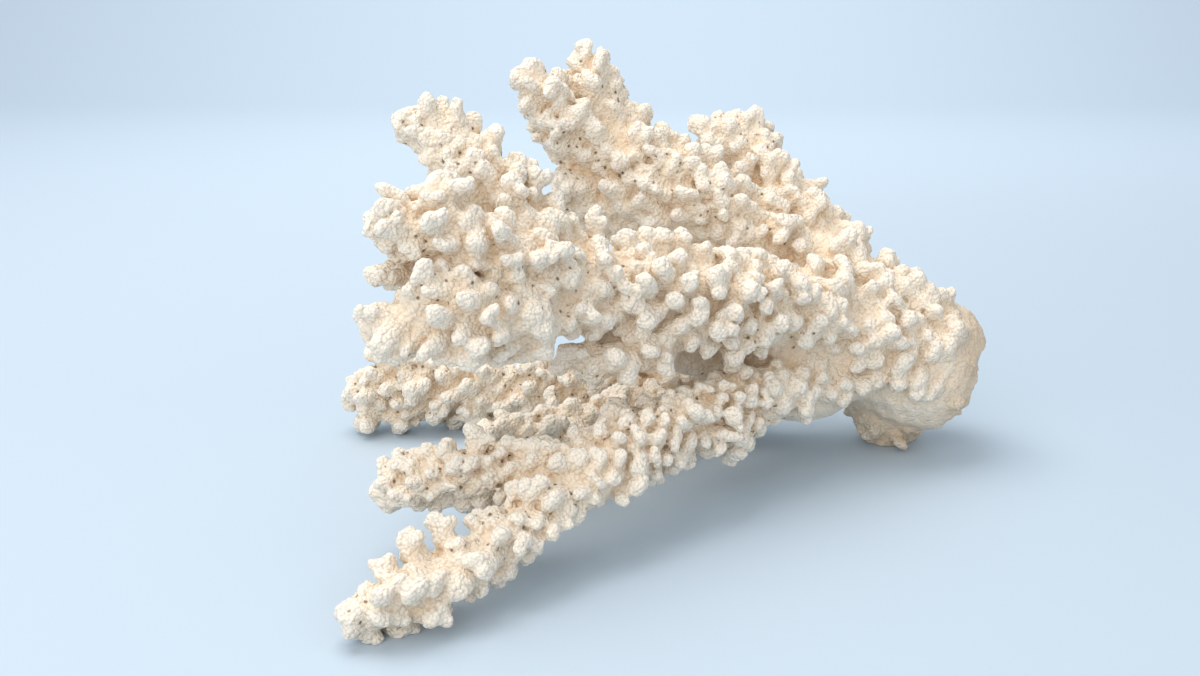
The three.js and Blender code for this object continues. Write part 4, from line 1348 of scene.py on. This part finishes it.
LAMPS = (
    Lamp("overhead", (-0.25, 0.1, 0.9), (0.0, 0.02, 0.05), 0.7, 5.7, (1.0, 0.98, 0.95)),
    Lamp("front_fill", (-0.5, -0.9, 0.55), (0.0, 0.0, 0.05), 0.9, 5.2, (1.0, 0.99, 0.97)),
    Lamp("backdrop_wash", (0.0, 0.9, 1.3), (0.0, 2.2, 0.5), 1.2, 16.0, (1.0, 1.0, 1.0)),
)


@dataclass(frozen=True)
class Studio:
    """Plain pale sweep, soft light from overhead and from the front left, and the camera."""

    floor_colour: Colour = linear(186, 200, 212)
    fibre_scale: float = 900.0
    floor_roughness: Range = (0.7, 0.8)
    width: float = 5.0
    front: float = -1.6
    back: float = 1.3
    rise: float = 2.0
    bend_steps: int = 25
    sky: Colour = (0.9, 0.95, 1.0, 1.0)
    sky_strength: float = 0.78
    lens: float = 38.61
    sensor: float = 36.0
    clip_start: float = 0.01
    eye: Point = (-0.018, -0.342, 0.140)
    tilt: float = 75.0

    def floor(self) -> bpy.types.Object:
        """A sweep: flat, then a quarter circle of radius half the rise, then upright.

        Returns:
            The floor.
        """
        radius = 0.5 * self.rise
        turn = np.linspace(0, math.pi / 2, self.bend_steps)
        y = np.concatenate([[self.front], self.back + radius * np.sin(turn), [self.back + radius]])
        z = np.concatenate([[0.0], radius * (1 - np.cos(turn)), [self.rise]])
        x = np.array([-0.5, 0.5]) * self.width
        grid = np.stack([np.broadcast_to(x[:, None], (2, len(y))),
                         np.broadcast_to(y, (2, len(y))), np.broadcast_to(z, (2, len(z)))], axis=-1)
        row = np.arange(len(y) - 1)
        faces = np.stack([row, row + len(y), row + len(y) + 1, row + 1], axis=1)
        mesh = bpy.data.meshes.new("floor")
        mesh.from_pydata(grid.reshape(-1, 3).tolist(), [], faces.tolist())
        mesh.polygons.foreach_set("use_smooth", np.ones(len(faces), bool))
        material = bpy.data.materials.new("pale_paper")
        material.use_nodes = True
        nodes = Nodes(material.node_tree)
        shader = material.node_tree.nodes["Principled BSDF"]
        place = nodes.add("ShaderNodeTexCoord").outputs["Object"]
        fibre = nodes.noise(place, self.fibre_scale, 2.0)
        nodes.put(shader.inputs["Base Color"], self.floor_colour)
        nodes.put(shader.inputs["Roughness"], nodes.ramp(fibre, 0.2, 0.8, *self.floor_roughness))
        mesh.materials.append(material)
        floor = bpy.data.objects.new("floor", mesh)
        bpy.context.scene.collection.objects.link(floor)
        return floor

    def light(self) -> None:
        """Places the lamps, each turned to its aim, and the sky."""
        for lamp in LAMPS:
            light = bpy.data.lights.new(lamp.name, "AREA")
            light.shape = "SQUARE"
            light.size = lamp.size
            light.energy = lamp.power
            light.color = lamp.colour
            held = bpy.data.objects.new(lamp.name, light)
            held.location = lamp.place
            held.rotation_euler = aim_euler(np.array(lamp.aim) - np.array(lamp.place))
            bpy.context.scene.collection.objects.link(held)
        world = bpy.data.worlds.new("studio")
        bpy.context.scene.world = world
        world.use_nodes = True
        backdrop = world.node_tree.nodes["Background"]
        backdrop.inputs["Color"].default_value = self.sky
        backdrop.inputs["Strength"].default_value = self.sky_strength

    def camera(self) -> None:
        """The photograph's view: 15 degrees down, 34 cm in front, a lens of 38.6 mm."""
        data = bpy.data.cameras.new("camera")
        data.lens = self.lens
        data.sensor_width = self.sensor
        data.sensor_fit = "HORIZONTAL"
        data.clip_start = self.clip_start
        camera = bpy.data.objects.new("camera", data)
        camera.location = self.eye
        camera.rotation_euler = (math.radians(self.tilt), 0.0, 0.0)
        bpy.context.scene.collection.objects.link(camera)
        bpy.context.scene.camera = camera


def aim_euler(run: np.ndarray) -> tuple[float, float, float]:
    """Turn that points a light's own -Z along a direction."""
    flat = math.hypot(run[0], run[1])
    return (math.atan2(flat, -run[2]), 0.0, math.atan2(run[0], -run[1]) + math.pi)


# A web between the trunk, the middle branch and the front branch, which shows only as the dark
# ground of the cleft between those two branches.
CROTCH_WEB: tuple[RoutePoint, ...] = (
    (64, 38, 38, 14), (46, 28, 38, 10), (31, 23, 39, 7.5), (20, 19, 40, 5),
)


@dataclass(frozen=True)
class Break:
    """The trunk's broken end, mm: its full stretch, the cut, and the worn knobs on its face."""

    stretch: float = 1.2
    slim: float = 0.8
    blend: float = 2.0
    rim: float = 6.0
    rough: float = 1.6
    knobs: int = 26
    size: Range = (2.2, 4.0)
    inset: float = 1.5
    sunk: float = 0.4
    dome: float = 8.0
    dome_from: float = 0.6
    length: float = 3.0


@dataclass(frozen=True)
class Nubs:
    """Rounded nubs on the surface, mm, and where it is too worn for them."""

    spacing: float = 1.15
    radius: float = 0.8
    spread: Range = (0.85, 1.15)
    sunk_on_knob: float = 0.42
    sunk_on_limb: float = 0.5
    blend: float = 0.5
    worn_x: float = 30.0
    worn_under: float = -0.3


@dataclass(frozen=True)
class Cups:
    """Small cups, mm: how far apart, where they are found, and how deep they are sunk."""

    spacing: float = 1.3
    radius: Range = (0.42, 0.58)
    raised: float = 0.35
    blend: float = 0.4
    group: float = 0.3
    most_x: float = 45.0
    least_up: float = -0.85
    crowd_on_limb: float = 0.47
    crowd_on_knob: float = 0.54
    kept: float = 0.75


BREAK, NUBS, CUPS = Break(), Nubs(), Cups()
NEAR_CROWD, WIDE_CROWD = 2.2, 6.0  # how far around a place its solid share is counted, mm
BALL_REACH = 1.5  # how far a small ball's distance counts, mm
LUMPS = 0.12  # height of the low lumps, mm


@dataclass
class Coral:
    """The whole coral: grown from the branches, skinned, dressed and parted into pieces."""

    branches: tuple[Branch, ...]
    step: float
    margin: float = 4.5
    most_triangles: int = 960_000
    most_in_piece: int = 192_000
    rng: np.random.Generator = field(default_factory=lambda: np.random.default_rng(SEED))
    growth: Growth = field(init=False)
    cups: np.ndarray = field(init=False)

    def grow(self) -> None:
        """Grows limbs, knobs, nubs and cups into the field."""
        boxes = np.array([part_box(branch.name) for branch in self.branches]) / MM
        low, high = boxes[:, 0].min(axis=0), boxes[:, 1].max(axis=0)
        growth = Growth(low - self.margin, high + self.margin, self.step, self.rng)
        LOG.info("grid %s", growth.count)
        self.growth = growth
        plan = Plan(self.branches, self.rng)
        plan.draw()
        for number in range(len(self.branches) - 1, -1, -1):
            branch = self.branches[number]
            cover = COVERS.get(branch.name, Cover())
            limbs = plan.limbs[branch.name]
            if not branch.parent:
                self._trunk(limbs.pop(0), number, cover)
            rest = [limb for limb in limbs if not limb[0].heel]
            growth.add_limbs(rest, number, cover.slim, cover.blend)
            heel = [limb for limb in limbs if limb[0].heel]
            if heel:
                growth.add_limbs(heel, number, HEEL_SLIM, cover.blend)
            growth.knob_blend = cover.fuse
            for knob in plan.knobs[branch.name]:
                growth.add_knob(knob, number)
            LOG.info("%s: %d knobs", branch.name, len(plan.knobs[branch.name]))
        self._soften()
        self._nubs()
        self._cups()
        growth.settle()

    def _trunk(self, trunk: tuple[Limb, float, float], number: int, cover: Cover) -> None:
        """The trunk's main limb with its broken end, whose knobs stand further in near the rim."""
        growth, limb = self.growth, trunk[0]
        growth.add_limbs([trunk], number, cover.slim, cover.blend)
        growth.add_limbs([(limb, 0.0, BREAK.stretch)], number, BREAK.slim, BREAK.blend)
        growth.add_limbs([(Limb(CROTCH_WEB), 0.0, 3.0)], number, 0.0, 3.0)
        place, tangent, across, beside = limb.frame(0.0)
        growth.cut(place, -tangent, BREAK.rim, BREAK.rough)
        for k in range(BREAK.knobs):
            turn = k * GOLDEN_TURN
            out = across * math.cos(turn) + beside * math.sin(turn)
            far = limb.radius(0.0) * math.sqrt((k + 0.5) / BREAK.knobs)
            size = self.rng.uniform(*BREAK.size)
            dome = BREAK.dome * max(0.0, far / limb.radius(0.0) - BREAK.dome_from)
            foot = place + out * (far - BREAK.inset) + tangent * (dome + BREAK.sunk * size)
            growth.add_knob(Knob(foot + tangent * BREAK.length, foot, size, None, 1), number)

    def _soften(self) -> None:
        """Low lumps all over: a product of sines in the grid's bent places."""
        x, y, z = self.growth.bent
        lumps = LUMPS * np.sin(x * 1.3 + y * 0.7) * np.sin(y * 1.2 - z * 0.8)
        lumps = lumps * np.sin(z * 1.4 + 0.5 * x)
        self.growth.value += lumps.astype(np.float32)

    def _nubs(self) -> None:
        """Rounded nubs all over, as balls half sunk in the surface, lower on the bare limbs."""
        growth = self.growth
        spots, outward = growth.surface_points()
        knob = growth.sample(growth.kind, spots) == Kind.KNOB.value
        worn = (spots[:, 0] > NUBS.worn_x) & (outward[:, 2] < NUBS.worn_under)
        chosen = np.flatnonzero(~(worn | (spots[:, 0] > BARE_END_X)))
        picked = chosen[spread(spots[chosen], NUBS.spacing, self.rng)]
        size = NUBS.radius * self.rng.uniform(*NUBS.spread, len(picked))
        sunk = np.where(knob[picked], NUBS.sunk_on_knob, NUBS.sunk_on_limb)
        centres = spots[picked] - outward[picked] * sunk[:, None]
        gap = growth.balls(centres, size, BALL_REACH)
        growth.value = smooth_min(growth.value, gap, NUBS.blend)
        LOG.info("%d nubs of %d places", len(picked), len(chosen))

    def _cups(self) -> None:
        """Small cups in sheltered sides, in groups where slow waves are high, sunk as balls."""
        growth = self.growth
        spots, outward = growth.surface_points()
        limb = growth.sample(growth.kind, spots) == Kind.LIMB.value
        x, y, z = spots.T
        near = growth.sample(growth.crowding(NEAR_CROWD), spots)
        group = np.sin(x * 0.21 + 1.0) * np.sin(y * 0.26 + 2.0) + np.sin(z * 0.24 + x * 0.08)
        open_side = (group > CUPS.group) & (x < CUPS.most_x) & (outward[:, 2] > CUPS.least_up)
        crowd = np.where(limb, CUPS.crowd_on_limb, CUPS.crowd_on_knob)
        chosen = np.flatnonzero(open_side & (near > crowd))
        picked = chosen[spread(spots[chosen], CUPS.spacing, self.rng)]
        picked = picked[self.rng.random(len(picked)) < CUPS.kept]
        self.cups = spots[picked]
        radii = self.rng.uniform(*CUPS.radius, len(picked))
        gap = growth.balls(self.cups + outward[picked] * CUPS.raised, radii, BALL_REACH)
        growth.value = -smooth_min(-growth.value, gap, CUPS.blend)
        LOG.info("%d cups", len(picked))

    def pieces(self) -> list[bpy.types.Object]:
        """Skins the field, parts it and thins each piece to its share of the triangles."""
        growth = self.growth
        skin = Skin(growth, tuple(branch.name for branch in self.branches))
        skin.build()
        total = 2 * len(skin.squares)
        LOG.info("%d triangles before thinning", total)
        marks = self._marks(skin.spots)
        made = []
        for number, branch in enumerate(self.branches):
            piece = skin.piece(number, marks)
            count = 2 * len(piece.data.polygons)
            share = min(1.0, self.most_triangles / total, self.most_in_piece / count)
            self._thin(piece, share)
            self._shade(piece)
            made.append(piece)
            LOG.info("%s: %d triangles", piece.name, triangles(piece))
        return made

    def _marks(self, spots: np.ndarray) -> dict[str, np.ndarray]:
        """Values of the surface's corners that the material reads.

        The trunk's end is worn beyond x = 85 mm, a little less so higher up, and its underside
        below z = 16 mm gets the same colour as painted shade.
        """
        growth = self.growth
        near = growth.sample(growth.crowding(NEAR_CROWD), spots)
        wide = growth.sample(growth.crowding(WIDE_CROWD), spots)
        cup, cup_on = self._nearest_cup(spots)
        x, y, z = spots.T
        end = np.clip((x - 85.0 + 0.2 * (35 - z)) / 9.0, 0.0, 1.0)
        # Painted shade: the trunk's underside below z = 16 mm darkens like the worn end.
        under = np.clip((x - 50.0) / 15.0, 0.0, 1.0) * np.clip((16.0 - z) / 10.0, 0.0, 1.0)
        return {
            # Share of solid nearby, which the material paints as shade in the hollows.
            "hollow": (0.5 * near + 0.5 * wide).astype(np.float32),
            "knob": growth.sample(growth.kind, spots).astype(np.float32),
            "cup": (cup * MM).astype(np.float32),
            "cup_on": cup_on.astype(np.float32),
            # Wear of the broken end, and painted shade on the trunk's underside.
            "worn": np.maximum(end, under).astype(np.float32),
        }

    def _nearest_cup(self, spots: np.ndarray) -> tuple[np.ndarray, np.ndarray]:
        """The cup of each corner's neighbourhood, and whether one is within 1 mm."""
        growth = self.growth
        index = np.full(growth.value.shape, -1, np.int32)
        span = int(math.ceil(1.3 / growth.step))
        base = np.rint((self.cups - growth.origin) / growth.step).astype(int)
        for offset in np.ndindex(2 * span + 1, 2 * span + 1, 2 * span + 1):
            index[tuple((base + np.array(offset) - span).T)] = np.arange(len(self.cups))
        chosen = growth.sample(index, spots)
        cup = self.cups[np.maximum(chosen, 0)]
        away = np.linalg.norm(cup - spots, axis=1)
        return cup, (chosen >= 0) & (away < 1.0)

    def _thin(self, piece: bpy.types.Object, share: float) -> None:
        """Merges the squares that matter least, and leaves the seams as they are."""
        if share >= 1.0:
            return
        thin = piece.modifiers.new("thin", "DECIMATE")
        thin.ratio = share
        thin.vertex_group = "hold"
        thin.invert_vertex_group = True
        with bpy.context.temp_override(object=piece, active_object=piece):
            bpy.ops.object.modifier_apply(modifier=thin.name)

    def _shade(self, piece: bpy.types.Object) -> None:
        """Gives the corners the field's own directions as normals, so that thinned nubs stay round.

        Corners inside the coral, where two branches meet, keep their faces' own normals.
        """
        mesh = piece.data
        spots = np.empty(3 * len(mesh.vertices), np.float32)
        mesh.vertices.foreach_get("co", spots)
        spots = spots.reshape(-1, 3).astype(float) / MM
        outward = self.growth.outward(spots)
        depth = self.growth.sample(self.growth.value, spots)
        outward[(depth < -0.8 * self.growth.step) | (spots[:, 2] < self.growth.step)] = 0.0
        mesh.normals_split_custom_set_from_vertices(outward)


def triangles(piece: bpy.types.Object) -> int:
    """Number of triangles of a mesh once its faces are parted into them."""
    return sum(len(polygon.vertices) - 2 for polygon in piece.data.polygons)


def main() -> None:
    """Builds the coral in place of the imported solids, and the studio around it."""
    logging.basicConfig(level=logging.INFO, format="%(asctime)s %(message)s", datefmt="%M:%S")
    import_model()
    coral = Coral(BRANCHES, step=0.5)
    coral.grow()
    material = CoralFinish().material()
    for piece, branch in zip(coral.pieces(), BRANCHES):
        piece.data.materials.append(material)
        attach(piece, "root")
        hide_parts(branch.name)
    studio = Studio()
    studio.floor()
    studio.light()
    studio.camera()
    bpy.context.scene.view_settings.view_transform = "Standard"


if __name__ == "__main__":
    main()
